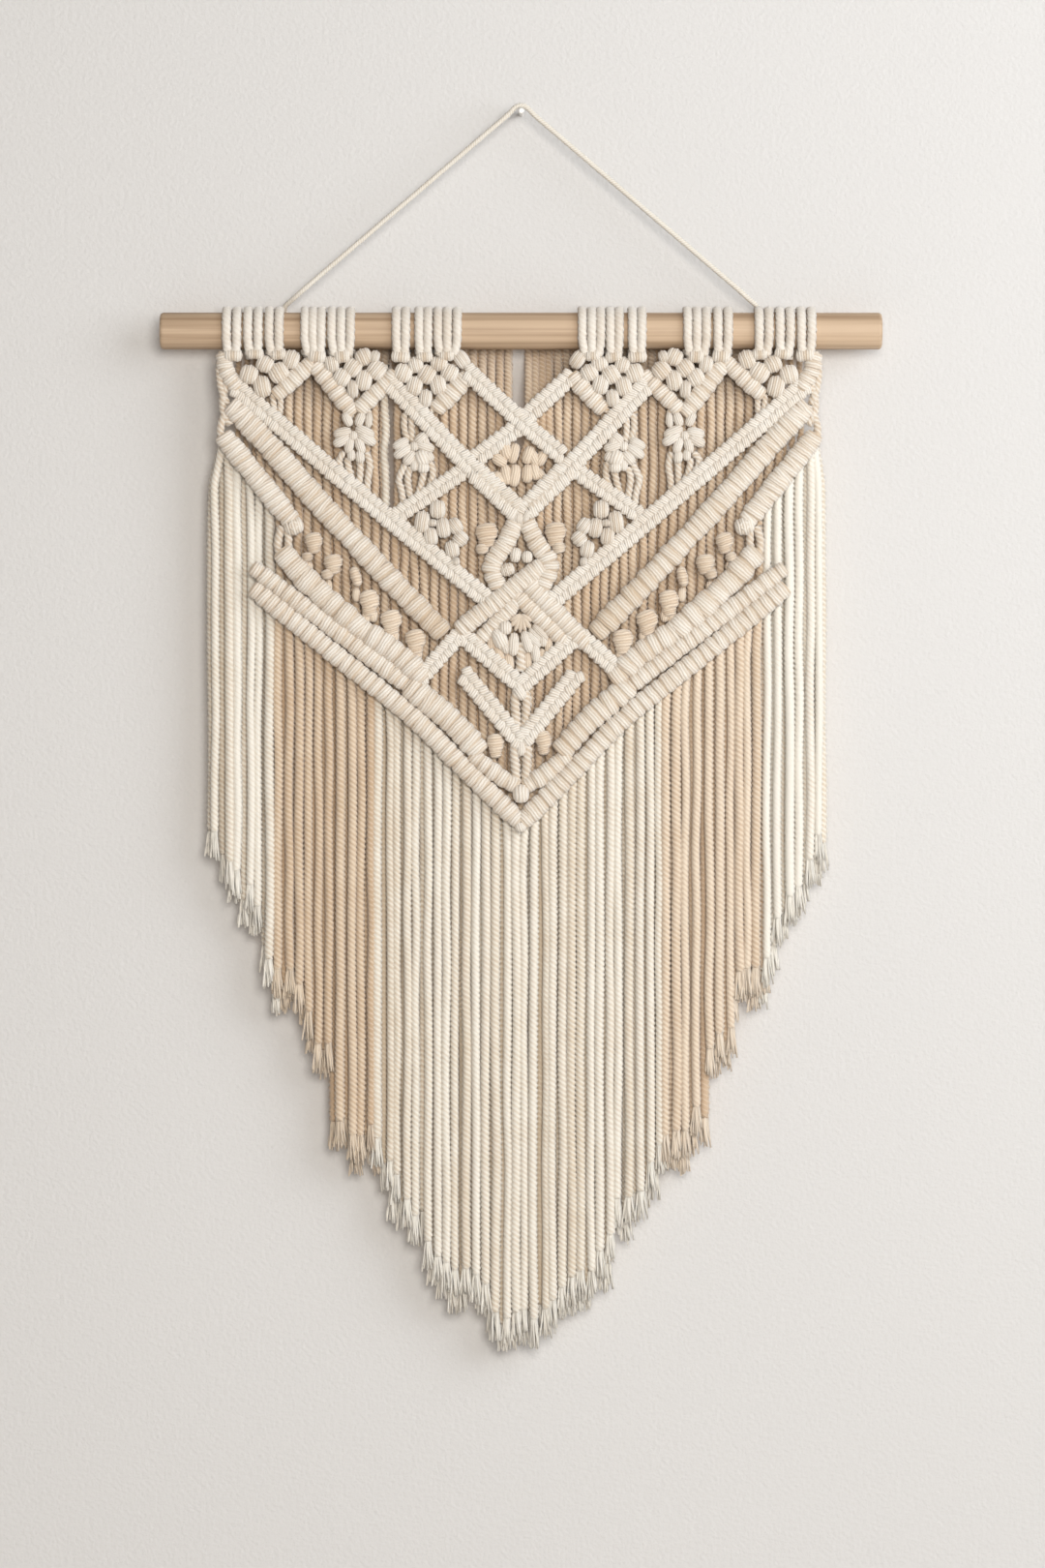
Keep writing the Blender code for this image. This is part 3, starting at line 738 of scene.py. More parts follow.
# %% Chart of the heads
HEADS = (
    # where each cord of a group hangs, in pitches from the middle
    (30.35, 29.30), (28.15, 27.10), (25.95, 24.95), (22.25, 21.45, 20.60),
    (19.50, 18.55, 17.60), (12.85, 11.90), (10.50, 9.60), (8.55, 7.60, 6.60),
)
HEAD_CAPS = (
    (29.7, 25.6, 19, 12.5), (27.4, 25.45, 17.5, 11), (25.0, 25.5, 16, 11.5),
    (21.05, 25.7, 18.5, 13.5), (18.45, 25.7, 16.5, 14), (12.4, 25.75, 19.5, 12),
    (9.95, 25.75, 17, 11.5), (7.7, 25.65, 16, 11),
)  # across and down in pitches, then width and height in tenths of a pitch
HEADS_RIGHT = HEADS[:3] + ((21.75, 20.7),) + HEADS[4:]
print("heads:", sum(len(places) for places in HEADS + HEADS_RIGHT))

# %% Leaning shapes


def in_tenths(size):
    """Half of a size that is given in tenths of a pitch, in metres."""
    return size * PITCH / 20


def lean(angle, side=RIGHT):
    """Unit vectors across and up for something that leans, top to the right when positive."""
    turn = math.radians(angle) * side
    return Vector((math.cos(turn), 0, -math.sin(turn))), Vector((math.sin(turn), 0, math.cos(turn)))


def leaning(shape, place, wide, tall, depth, angle, side=RIGHT, shade=0.0):
    """A shape of a width and a height in tenths of a pitch, its top leaning by an angle."""
    over, up = lean(angle, side)
    axes = (over * in_tenths(wide), Vector((0, depth, 0)), up * in_tenths(tall))
    return stamp(shape, place, axes, shade)


# %% Heads
chance = random.Random(4)
CORD_R = 3.4 * MM
HEAD_CORD_R = CORD_R * 0.94
PRESSED = 0.6  # a head is this much thinner than it is wide
HEAD_TURN_R = ROD_R + CORD_R * PRESSED + 0.1 * MM
FRONT_LOWER, BACK_LOWER, HEAD_STEP = 118, -205, 17  # degrees from the dowel's top, forwards
FOOT_SHARE = 0.3  # how far a cord's foot is drawn towards its band
BAND_WIDE, BAND_TALL = 1.06, 1.15  # the band across a head, compared with the chart
BAND_Y, BAND_DEPTH = -9.4 * MM, 5.2 * MM
HEAD_START = (25.9, -8.2 * MM)  # down and Y: under the dowel, and where the front leg ends
HEAD_LEG, HEAD_END = (25.0, -11.6 * MM), (25.7, -10.2 * MM)
LEG_SHARE = 0.6  # how far the leg has gone from its place towards its foot


def head_line(across, foot):
    """Round the dowel from its front foot, under it, up the back, over, and down the front."""
    line = [at(foot, *HEAD_START)]
    for degrees in range(BACK_LOWER, FRONT_LOWER + 1, HEAD_STEP):
        turn = math.radians(degrees)
        y, z = -HEAD_TURN_R * math.sin(turn), HEAD_TURN_R * math.cos(turn)
        line.append(Vector((at(across, 0, 0).x, y, ROD_Z + z)))
    line.append(at(foot * LEG_SHARE + across * (1 - LEG_SHARE), *HEAD_LEG))
    line.append(at(foot, *HEAD_END))
    return smooth_route(line, 3)


head_shapes = []
for side, heads in ((LEFT, HEADS), (RIGHT, HEADS_RIGHT)):
    for places, (cap, down, wide, tall) in zip(heads, HEAD_CAPS):
        for place in places:
            foot = place + (cap - place) * FOOT_SHARE
            line = head_line(side * place, side * foot)
            shade = chance.uniform(-0.12, 0.08)
            head_shapes.append(laid_cord(line, HEAD_CORD_R, 4, shade, flat=PRESSED, soft=0.9))
        place, angle = at(side * cap, down, BAND_Y), chance.uniform(-9, 9)
        wide, tall = wide * BAND_WIDE, tall * BAND_TALL
        head_shapes.append(leaning(CLEFT, place, wide, tall, BAND_DEPTH, angle, side))
make_piece("cord_heads", head_shapes, CREAM, "knot_panel")

# %% [markdown]
# ## Clusters of square knots
#
# Under each group of heads the cords are tied into alternating square knots, row by row. From
# the front each is a round lump that two turns make, leaning a little one way or the other. The
# chart gives each its place, its width and its height, and one round knot is copied to them all.

# %% Knot clusters
CLUSTER_KNOTS = (
    # the outer cluster
    (28.05, 27.6, 18, 21, 15), (26.7, 28.85, 17, 24, -12), (26.4, 26.5, 17, 19, 25),
    (25.0, 27.4, 20, 22, -30), (23.7, 26.05, 16, 21, 20),
    # the middle cluster
    (19.5, 26.5, 14, 19, -10), (18.45, 27.9, 17, 20, 28), (17.35, 26.9, 17, 20, 35),
    (16.2, 25.8, 17, 19, -25), (16.2, 28.2, 16, 23, 12), (14.9, 27.15, 18, 21, 40),
    (17.35, 29.1, 11, 20, -5), (15.1, 25.8, 10, 15, 20),
    # the inner cluster
    (12.15, 27.45, 18, 21, 20), (10.85, 26.6, 15, 18, -15), (9.7, 27.6, 17, 21, 30),
    (8.45, 26.5, 17, 16, 10), (7.35, 27.4, 17, 19, 25), (6.1, 26.05, 14, 21, -35),
    (11.0, 28.8, 16, 22, 15), (8.55, 28.65, 16, 22, -12), (9.85, 30.05, 13, 20, 8),
)  # across and down in pitches, then width and height in tenths of a pitch, and lean in degrees
KNOT_Y, KNOT_DEPTH = -8.9 * MM, 5.4 * MM
LOBE_DEPTH = 1.1  # of its half width
KNOT_SWELL, LOBE_SWELL, TALL_SWELL = 1.08, 1.15, 1.04  # soft cord swells past its chart size


def placed(shape, across, down, wide, tall, angle, side, y=KNOT_Y, depth=KNOT_DEPTH):
    """A shape at its row of the chart, a little paler or warmer than the next."""
    place, shade = at(side * across, down, y), chance.uniform(-0.08, 0.08)
    return leaning(shape, place, wide, tall, depth, angle, side, shade)


def lobe_at(across, down, wide, tall, angle, side, y):
    """A lobe at its row of the chart. A slim one is flat too."""
    depth = min(in_tenths(wide) * LOBE_DEPTH, KNOT_DEPTH)
    return placed(LOBE, across, down, wide, tall, angle, side, y, depth)


cluster_shapes = []
for side in (LEFT, RIGHT):
    for across, down, wide, tall, angle in CLUSTER_KNOTS:
        row = (across, down, wide * KNOT_SWELL, tall * TALL_SWELL, -angle)
        cluster_shapes.append(placed(KNOT, *row, side))
make_piece("square_knot_clusters", cluster_shapes, CREAM, "knot_panel")

# %% [markdown]
# ## Bars of half hitches
#
# The long slanting bars are double half hitches: each hanging cord is wrapped twice round a cord
# that is held at a slant. From the front a bar is a row of fat turns, side by side and square to
# the bar, with a scalloped edge. An array modifier would make them all alike, so a hitch is copied
# along the bar's line in a loop, each with its own small difference in width, place and slant.

# %% Bar chart
BARS = (
    # name, width, depth, hitch to hitch, forward in mm, sides, its line, warmer, uneven
    ("second", 15.0, 9.4, 5.1, 0.0, "both", (
        (29.6, 31.0), (26.0, 34.9), (22.0, 39.5), (18.2, 43.7)), 0.1, 0.14),
    ("second_end", 15.0, 9.4, 6.8, 0.2, "both", (
        (17.4, 44.5), (14.0, 48.2), (10.8, 51.5), (8.5, 53.8)), 0.35, 0.16),
    ("third", 13.8, 9.2, 4.9, 0.0, "both", ((30.45, 34.2), (23.9, 42.4)), 0.0, 0.14),
    ("outer_start", 11.0, 8.8, 4.4, 0.3, "both", ((30.65, 25.8), (30.4, 27.2), (29.5, 28.7)), 0.0, 0.12),
    ("upper_v", 15.6, 10.0, 10.6, 0.0, "both", ((24.2, 46.4), (21.6, 49.3), (16.9, 53.5)), 0.0, 0.2),
    ("upper_v_end", 15.0, 9.6, 7.6, 0.0, "both", ((16.2, 54.0), (12.6, 56.5), (10.4, 58.6)), 0.0, 0.18),
    ("middle_v", 11.4, 8.8, 5.9, 0.0, "both", ((27.2, 47.8), (11.5, 59.8)), 0.0, 0.14),
    ("middle_v_wide", 16.0, 9.4, 6.2, 0.2, "both", ((11.2, 60.0), (7.4, 63.1), (4.6, 66.1)), 0.0, 0.12),
    ("middle_v_end", 11.4, 8.8, 6.6, 0.0, "both", (
        (4.6, 67.1), (3.3, 68.2), (1.8, 69.3), (0.9, 69.8)), 0.0, 0.16),
    ("lower_v", 12.6, 9.0, 5.9, 0.0, "both", (
        (27.25, 49.9), (19.35, 56.3), (11.15, 62.9), (5.85, 68.2), (0.55, 73.3)), 0.0, 0.14),
    ("outer_hitches", 11.0, 8.2, 6.2, 0.4, "both", ((21.9, 26.6), (24.9, 29.4)), 0.0, 0.12),
    ("middle_hitches", 11.6, 8.2, 6.4, 0.4, "both", ((21.0, 26.9), (17.6, 31.2)), 0.0, 0.12),
    ("middle_hitches_in", 11.2, 8.2, 6.2, 0.4, "both", ((13.3, 27.9), (16.4, 30.9)), 0.0, 0.12),
    ("inner_hitches", 12.0, 8.2, 5.8, 0.4, "both", ((5.8, 28.1), (8.5, 30.9)), 0.0, 0.12),
    ("ring_left", 12.2, 8.4, 5.2, 0.0, "left", (
        (0.75, 43.1), (1.6, 45.0), (2.85, 46.8), (3.0, 47.9), (2.5, 49.1)), 0.0, 0.1),
    ("ring_right", 12.2, 8.4, 5.2, 0.0, "right", (
        (0.85, 43.3), (1.75, 45.1), (2.95, 46.7), (3.0, 47.9), (2.45, 49.1)), 0.0, 0.1),
    ("peak_left", 12.2, 8.8, 4.4, 1.0, "left", ((-1.9, 47.5), (6.1, 53.7)), 0.0, 0.06),
    ("peak_right", 12.4, 8.8, 4.6, 0.0, "right", ((0.6, 48.9), (6.7, 55.1)), 0.0, 0.08),
    ("peak_inner_left", 9.8, 7.8, 4.4, 0.0, "left", ((0.6, 51.2), (4.4, 55.0)), 0.0, 0.08),
    ("peak_inner_right", 10.8, 8.2, 4.8, 0.0, "right", ((-0.5, 50.3), (4.5, 54.9)), 0.0, 0.08),
)
print("bars:", len(BARS))

# %% Hitched bars
KNOT_BACK = -3.9 * MM  # the knotwork lies in front of this plane
HITCH_HALF = 0.7  # half of a hitch's thickness, as a share of the way to the next
PACKED = (5.5, 0.78)  # where hitches are closer than this, in mm, they overlap more
END_SIZE = 0.9
SIDES = {"both": (LEFT, RIGHT), "left": (LEFT,), "right": (RIGHT,)}


def charted(points, side, y):
    """A smooth line through places on the chart."""
    return smooth_route([at(side * across, down, y) for across, down in points], 6)


def walk(line, spacing):
    """Places a spacing apart on a line, each with its directions along and across it."""
    route = even_route(line, spacing)
    for place, ahead in zip(route, np.gradient(route, axis=0)):
        along = Vector(ahead).normalized()
        yield Vector(place), along, Vector((0, 1, 0)).cross(along)


def turned(one, other, degrees):
    """Two directions after a turn that takes the first towards the second."""
    angle = math.radians(degrees)
    ahead, aside = math.cos(angle), math.sin(angle)
    return one * ahead + other * aside, other * ahead - one * aside


def hitched_bar(width, depth, spacing, forward, side, points, warm, uneven):
    """Hitches side by side along a line, no two the same, with a smaller one at each end."""
    line = charted(points, side, KNOT_BACK - depth * MM / 2 - forward * MM)
    half = spacing * MM * (PACKED[1] if spacing < PACKED[0] else HITCH_HALF)
    places = list(walk(line, spacing * MM))
    shapes = []
    for i, (place, along, across) in enumerate(places):
        facing, across = turned(along, across, chance.uniform(-8, 8))
        is_end = i in (0, len(places) - 1)
        share = (1 + chance.uniform(-0.4, 0.4) * uneven) * (END_SIZE if is_end else 1.0) * MM / 2
        thick = half * (1 + chance.uniform(-1, 1) * uneven)
        centre = place + along * chance.uniform(-0.35, 0.35) * uneven * spacing * MM
        axes = (across * width * share, Vector((0, depth * share, 0)), facing * thick)
        shade = chance.uniform(-0.12, 0.06) + warm * i / len(places)
        shapes.append(stamp(HITCH, centre, axes, shade, thick / THREAD))
    return shapes


bar_shapes = []
for _, width, depth, spacing, forward, sides, points, warm, uneven in BARS:
    for side in SIDES[sides]:
        bar_shapes += hitched_bar(width, depth, spacing, forward, side, points, warm, uneven)
make_piece("hitched_bars", bar_shapes, CREAM, "knot_panel")

# %% [markdown]
# ## Beaded sinnets
#
# A sinnet is a narrow band of square knots tied one after another. It shows two rows of small
# beads with a dark dot between each four. Each bead is a small knot that lies across the band, and
# the two rows lean towards each other like the stitches of a plait, so the bead is copied in pairs.

# %% Beaded sinnets
SINNETS = (
    # name, width in mm, bead to bead in mm, forward in mm, sides, and its line in pitches
    ("outer", 10.6, 4.5, 0.0, "both", ((29.4, 28.9), (17.0, 39.6), (3.75, 50.6))),
    ("diamond_side", 10.8, 4.5, 0.6, "both", ((13.4, 28.6), (5.3, 37.0), (0.5, 41.7))),
    ("diamond_foot_wide", 13.0, 4.6, 0.9, "both", ((4.6, 37.7), (0.7, 41.4))),
    ("cross_over", 10.2, 4.4, 1.0, "left", ((5.4, 27.4), (0.0, 32.4), (-4.2, 35.8))),
    ("cross_over_end", 9.6, 4.4, 0.0, "right", ((5.95, 37.5), (12.5, 42.0))),
    ("cross_under", 10.2, 4.4, 0.0, "right", ((5.4, 27.7), (0.7, 31.8))),
    ("cross_under_middle", 10.2, 4.4, 0.0, "left", ((0.75, 33.3), (4.4, 36.0))),
    ("cross_under_end", 9.6, 4.4, 0.0, "left", ((5.95, 37.5), (12.6, 42.0))),
    ("tie", 9.6, 4.6, 0.0, "left", ((6.5, 54.5), (10.5, 59.0))),
    ("tie_right", 10.2, 4.6, 0.0, "right", ((6.8, 54.9), (10.8, 58.5))),
    ("small_diamond_foot", 10.0, 4.7, 0.0, "both", ((6.4, 54.2), (0.2, 59.5))),
    ("small_v", 10.8, 4.9, 0.0, "both", ((5.75, 58.7), (0.3, 65.2))),
)
BEAD_LEAN = 20  # degrees
BEAD_DEPTH = 3.5 * MM
BEAD_SHARES = (0.66, 0.31)  # half a bead: of the way to the next, and of the sinnet's width
CORE_SHARE, CORE_FLAT = 0.42, 0.78


def sinnet(width, spacing, forward, side, points):
    """Two rows of beads along a line, over a thin core that closes the gaps."""
    width, spacing = width * MM, spacing * MM
    line = charted(points, side, KNOT_BACK - (3.9 + forward) * MM)
    # the core is painted darker than the beads: painted shade, seen as the dark dots between them
    shapes = [laid_cord(line, width * CORE_SHARE, 3, 0.3, flat=CORE_FLAT, soft=1.0)]
    for place, along, across in walk(line, spacing):
        for edge in (-1, 1):
            slant = (BEAD_LEAN + chance.uniform(-8, 8)) * edge
            out, back = turned(across, along, slant)
            centre = place + (across * width + along * spacing) * 0.25 * edge
            size = 1 + chance.uniform(-0.07, 0.07)
            depth = Vector((0, BEAD_DEPTH * size, 0))
            wide = -width * BEAD_SHARES[1] * size
            axes = (back * spacing * BEAD_SHARES[0], depth, out * wide)
            shapes.append(stamp(BEAD, centre, axes, chance.uniform(-0.1, 0.06)))
    return shapes


sinnet_shapes = []
for _, width, spacing, forward, sides, points in SINNETS:
    for side in SIDES[sides]:
        sinnet_shapes += sinnet(width, spacing, forward, side, points)
make_piece("beaded_sinnets", sinnet_shapes, CREAM, "knot_panel")

# %% [markdown]
# ## Small knots between the bars
#
# Two butterflies hang under the inner clusters on each side, and a handful of bobbles sits in the
# corner below them. Two tufts stand inside the small diamond. A bobble is a round knot again. The
# others are cords that come up, spread and go down again, so each is written as a list of lobes.

# %% Butterflies and bobbles
BUTTERFLIES = (
    (17.9, 32.2, 9, 16, 25), (16.6, 32.2, 9, 16, -20), (15.7, 32.3, 7, 16, -5),
    (18.4, 33.6, 10, 19, -78), (18.5, 34.4, 10, 19, -60), (16.1, 33.5, 10, 21, 66),
    (15.9, 34.2, 10, 21, 58), (17.3, 33.9, 9, 10, 0), (17.7, 34.9, 9, 17, -12),
    (16.6, 34.9, 9, 18, 18), (17.5, 35.9, 8, 12, 0), (16.6, 36.1, 9, 13, 5),
    (12.4, 34.7, 9, 18, -62), (12.2, 35.5, 10, 21, -55), (10.3, 34.2, 10, 15, -50),
    (9.9, 34.6, 9, 14, 15), (9.9, 35.0, 10, 20, 72), (11.0, 35.0, 9, 10, 0),
    (11.5, 36.2, 10, 17, -40), (11.0, 36.9, 8, 13, 0), (10.2, 36.2, 15, 17, 20),
    (9.5, 36.1, 10, 11, 30), (10.1, 37.2, 12, 11, 0),
)
BOBBLES = (
    (8.6, 41.5, 17, 21, 0), (10.2, 42.8, 16, 26, -8), (9.15, 42.9, 10, 9, 0),
    (9.3, 44.3, 15, 21, 8), (8.0, 43.4, 15, 23, 10), (6.8, 43.2, 15, 19, 35),
    (6.25, 44.5, 16, 17, 50), (7.1, 45.6, 15, 20, 12), (6.7, 46.9, 8, 11, 5),
)
BUTTERFLY_Y, BOBBLE_Y = -9.0 * MM, -8.6 * MM
small_shapes = []
for side in (LEFT, RIGHT):
    for across, down, wide, tall, angle in BUTTERFLIES:
        row = (across, down, wide * LOBE_SWELL, tall * TALL_SWELL, angle)
        small_shapes.append(lobe_at(*row, side, BUTTERFLY_Y))
    for row in BOBBLES:
        small_shapes.append(placed(KNOT, *row, side, BOBBLE_Y))
make_piece("butterflies_and_bobbles", small_shapes, CREAM, "knot_panel")

# %% The middle: spiral ends, tufts, nubs and joins
LEFT_LOBES = (
    (1.62, 53.7, 14, 15, 0), (2.15, 54.9, 16, 22, 24), (1.6, 55.6, 11, 17, 16),
    (2.45, 54.4, 11, 13, 40), (0.77, 55.4, 12, 25, -4), (0.55, 46.2, 12, 16, -8),
    (0.25, 42.4, 10, 12, 0), (0.1, 60.4, 12, 17, 32), (0.0, 66.1, 11, 17, 0), (0.0, 70.8, 18, 20, 0),
    (0.05, 74.2, 12, 12, 20),
)
RIGHT_LOBES = (
    (0.62, 55.15, 11, 24, -18), (2.07, 54.15, 8, 22, -45), (1.65, 54.5, 8, 22, -45),
    (1.28, 54.94, 8, 22, -45), (1.57, 56.27, 10, 23, -5), (2.4, 54.95, 9, 15, 0),
    (0.65, 42.1, 9, 17, 28), (0.65, 46.4, 12, 13, 0), (0.3, 43.0, 9, 13, 0),
)
SPIRALS = ((1.4, 47.7, 4.2, "left"), (23.45, 43.2, 5.8, "both"))  # across, down, radius in mm
SPIRAL_Y, SPIRAL_TILT = KNOT_Y + 0.6 * MM, 0.3
COIL_AHEAD, COIL_SIZE, COIL_SHADE = 0.62, 0.6, 0.1  # the first two as shares of the ball's radius
LIFT = 0.8 * MM  # one lobe lies this much further forward or back than the next


def spiral_at(across, down, size, side):
    """The end of a bar that is rolled up: a ball of cord with a small coil on its front."""
    centre = at(side * across, down, SPIRAL_Y)
    size *= MM
    tilt = size * SPIRAL_TILT
    ball = (Vector((size, 0, tilt)), Vector((0, size, 0)), Vector((-tilt, 0, size)))
    front = centre + Vector((0, -COIL_AHEAD * size, 0))
    coil = stamp(COIL, front, np.eye(3) * size * COIL_SIZE, COIL_SHADE)
    return [stamp(KNOT, centre, ball), coil]


middle_shapes = []
for side, rows in ((LEFT, LEFT_LOBES), (RIGHT, RIGHT_LOBES)):
    for i, row in enumerate(rows):
        middle_shapes.append(lobe_at(*row, side, KNOT_Y + LIFT * (i % 3 - 1)))
for across, down, size, sides in SPIRALS:
    for side in SIDES[sides]:
        middle_shapes += spiral_at(across, down, size, side)
make_piece("middle_knots", middle_shapes, CREAM, "knot_panel")

# %% [markdown]
# ## Cream cords that join the knots
#
# Between knots the cream cord shows as itself: beside the outer cluster, as the legs of the
# butterflies, and in two short pairs down the middle. A curve object with a round bevel would have
# no plies, so each is the laid cord again, along a few points of the chart.

# %% Joining cords
JOINS = (
    # radius in mm, then its line in pitches
    (2.9, ((30.8, 25.2), (31.1, 27.0), (30.9, 29.0), (30.3, 30.7))),
    (2.9, ((30.3, 28.4), (30.75, 30.0), (30.65, 31.6), (30.0, 32.8))),
    (2.9, ((29.9, 30.8), (30.6, 31.8), (31.0, 33.2), (30.8, 35.0))),
    (3.1, ((24.7, 43.2), (25.1, 44.9), (24.9, 46.3))),
    (2.9, ((24.1, 43.6), (24.0, 44.9), (24.2, 46.2))),
    (3.4, ((0.1, 55.2), (0.05, 56.6), (0.1, 58.2))),
    (2.6, ((18.2, 35.6), (18.7, 36.2), (18.7, 36.9), (18.2, 38.1), (17.9, 39.0))),
    (2.6, ((17.9, 36.2), (17.8, 37.1), (17.4, 38.5), (17.2, 39.2))),
    (2.6, ((16.6, 36.4), (16.6, 37.4), (16.7, 39.2), (16.8, 40.2))),
    (2.6, ((15.9, 35.6), (15.6, 36.9), (15.8, 38.3), (15.9, 40.0))),
    (2.5, ((12.0, 31.6), (12.05, 33.0), (11.7, 34.4))),
    (2.5, ((11.3, 31.9), (11.3, 33.2), (11.2, 34.6))),
    (2.6, ((11.9, 36.8), (12.6, 38.3), (12.3, 39.6), (12.1, 41.0))),
    (2.6, ((11.4, 37.1), (11.7, 38.3), (11.4, 40.4))),
    (2.6, ((10.0, 37.4), (10.3, 38.8), (10.7, 40.2))),
    (2.6, ((9.3, 36.6), (9.1, 37.7), (9.4, 39.0), (9.9, 39.8))),
    (2.0, ((7.2, 45.8), (6.9, 47.0), (6.7, 47.8))),
    (3.6, ((0.25, 60.1), (0.6, 60.8), (0.58, 62.0), (0.42, 63.9))),
    (3.6, ((0.3, 65.4), (0.66, 66.1), (0.62, 67.5), (0.45, 69.8))),
    (2.3, ((8.7, 30.3), (9.0, 31.0), (9.6, 31.8))),
    (2.3, ((25.6, 29.6), (25.5, 30.8), (25.2, 31.8))),
    (2.3, ((24.9, 29.5), (24.8, 30.6), (24.9, 31.6))),
    (2.3, ((17.3, 30.8), (17.5, 31.6), (17.8, 32.4))),
    (2.3, ((16.2, 30.6), (15.7, 31.6), (15.6, 32.8))),
)
JOIN_Y = -7.4 * MM
join_shapes = []
for side in (LEFT, RIGHT):
    for radius, points in JOINS:
        shade = chance.uniform(-0.08, 0.1)
        join_shapes.append(laid_cord(charted(points, side, JOIN_Y), radius * MM, 5, shade))
make_piece("joining_cords", join_shapes, CREAM, "knot_panel")

# %% [markdown]
# ## Tan knots
#
# The tan cords carry knots of their own. Between the two upper bars of each side stand six small
# barrels of turns that climb to the right. A few more sit inside the upper diamond, beside the ring
# and above the lowest point, tufts stand in both diamonds, and a fan hangs in the small one. A
# barrel is the round knot turned on its side, with a smaller one under it. The rest are lobes.

# %% Tan knots
TAN_KNOTS = (
    # across and down in pitches, width and height in tenths of a pitch, sides
    (21.4, 44.9, 20, 19, "both"), (22.05, 46.5, 13, 11, "both"), (19.4, 47.1, 21, 18, "both"),
    (20.0, 48.3, 14, 12, "both"), (17.05, 48.7, 12, 24, "both"), (15.65, 51.1, 22, 24, "both"),
    (13.4, 53.1, 24, 23, "both"), (10.9, 55.1, 23, 23, "both"),
    (3.55, 44.1, 25, 22, "left"), (4.0, 45.7, 15, 13, "left"), (3.7, 44.0, 24, 22, "right"),
    (4.05, 45.6, 15, 14, "right"), (2.65, 65.8, 19, 22, "left"), (2.4, 65.5, 18, 22, "right"),
)
CLIMB = 15  # degrees
FEET = (
    (22.3, 47.3, 14, 8), (21.9, 47.5, 13, -6), (20.5, 49.3, 14, 10), (19.9, 49.5, 13, -4),
    (17.0, 50.3, 15, 0), (16.0, 52.6, 14, 10), (15.2, 52.5, 13, -8), (13.9, 54.6, 14, 12),
    (13.0, 54.6, 13, -6), (11.4, 56.5, 13, 10), (10.6, 56.5, 12, -8),
)  # cords under the knots: across, down, length and lean
TAN_LOBES_LEFT = (
    (1.6, 35.4, 14, 20, 20), (0.75, 35.7, 12, 22, -15), (2.2, 36.4, 13, 17, 60),
    (0.65, 38.0, 13, 24, -8), (1.5, 37.9, 12, 22, 12), (2.15, 38.3, 10, 18, 40),
    (3.07, 55.3, 9, 15, 0), (2.2, 56.35, 9, 21, 25), (1.2, 57.2, 10, 19, 10),
)
TAN_LOBES_RIGHT = (
    (0.8, 35.9, 13, 20, 20), (1.4, 36.2, 12, 18, -25), (2.2, 36.2, 12, 18, 30),
    (0.7, 37.8, 13, 20, 5), (1.5, 37.6, 12, 19, -15), (2.1, 37.9, 10, 16, -40),
    (0.76, 57.1, 9, 21, 0), (2.26, 56.5, 7, 14, 0), (2.98, 55.6, 9, 20, 0),
)
FEET_Y, TUFT_Y = -6.0 * MM, -6.9 * MM
FAN_TOP, FAN_Y, FAN_DEPTH = (0.0, 52.3), -8.2 * MM, 3.4 * MM
FAN_HANG = 0.98  # the middle of a lobe is this many half lengths from the top
FAN = (
    # the lean of each lobe in degrees, then its width and length in tenths of a pitch
    (60, 5, 14), (40, 6, 17), (20, 5, 19), (3, 5, 20), (-14, 5, 20), (-34, 6, 18), (-58, 5, 14),
)
BARREL = (
    # its two balls: share of the width and height, half depth and Y in mm, lower and warmer by
    (1.0, 0.86, 4.9, -7.8, -0.012, 0.0),
    (0.74, 0.62, 4.2, -7.4, 0.03, 0.1),
)
SMALL = 15  # a barrel up to this wide has only the first


def tan_knot(across, down, wide, tall, side):
    """A ball of turns stacked one on another, climbing to the right, over a smaller one."""
    over, up = lean(-CLIMB + chance.uniform(-8, 8))
    shade = chance.uniform(-0.15, 0.1)
    shapes = []
    for share_wide, share_tall, depth, y, lower, warmer in BARREL[:2 if wide > SMALL else 1]:
        half_up, half_over = in_tenths(tall) * share_tall, in_tenths(wide) * share_wide
        axes = (up * half_up, Vector((0, depth * MM, 0)), over * half_over)
        place = at(side * across, down + tall * lower, y * MM)
        shapes.append(stamp(KNOT, place, axes, shade + warmer))
    return shapes


def fan_lobe(angle, wide, long):
    """A lobe of the fan, which hangs from its top."""
    middle = at(*FAN_TOP, FAN_Y) - lean(angle)[1] * in_tenths(long) * FAN_HANG
    shade = chance.uniform(-0.35, -0.05)
    return leaning(LOBE, middle, wide, long, FAN_DEPTH, angle, shade=shade)


tan_shapes = [fan_lobe(*row) for row in FAN]
for *row, sides in TAN_KNOTS:
    for side in SIDES[sides]:
        tan_shapes += tan_knot(*row, side)
for across, down, long, angle in FEET:
    for side in (LEFT, RIGHT):
        tan_shapes.append(lobe_at(across, down, 9, long, angle, side, FEET_Y))
for side, rows in ((LEFT, TAN_LOBES_LEFT), (RIGHT, TAN_LOBES_RIGHT)):
    for row in rows:
        tan_shapes.append(lobe_at(*row, side, TUFT_Y))
make_piece("tan_knots", tan_shapes, PALE_TAN, "back_cords", slot="tan_cotton")
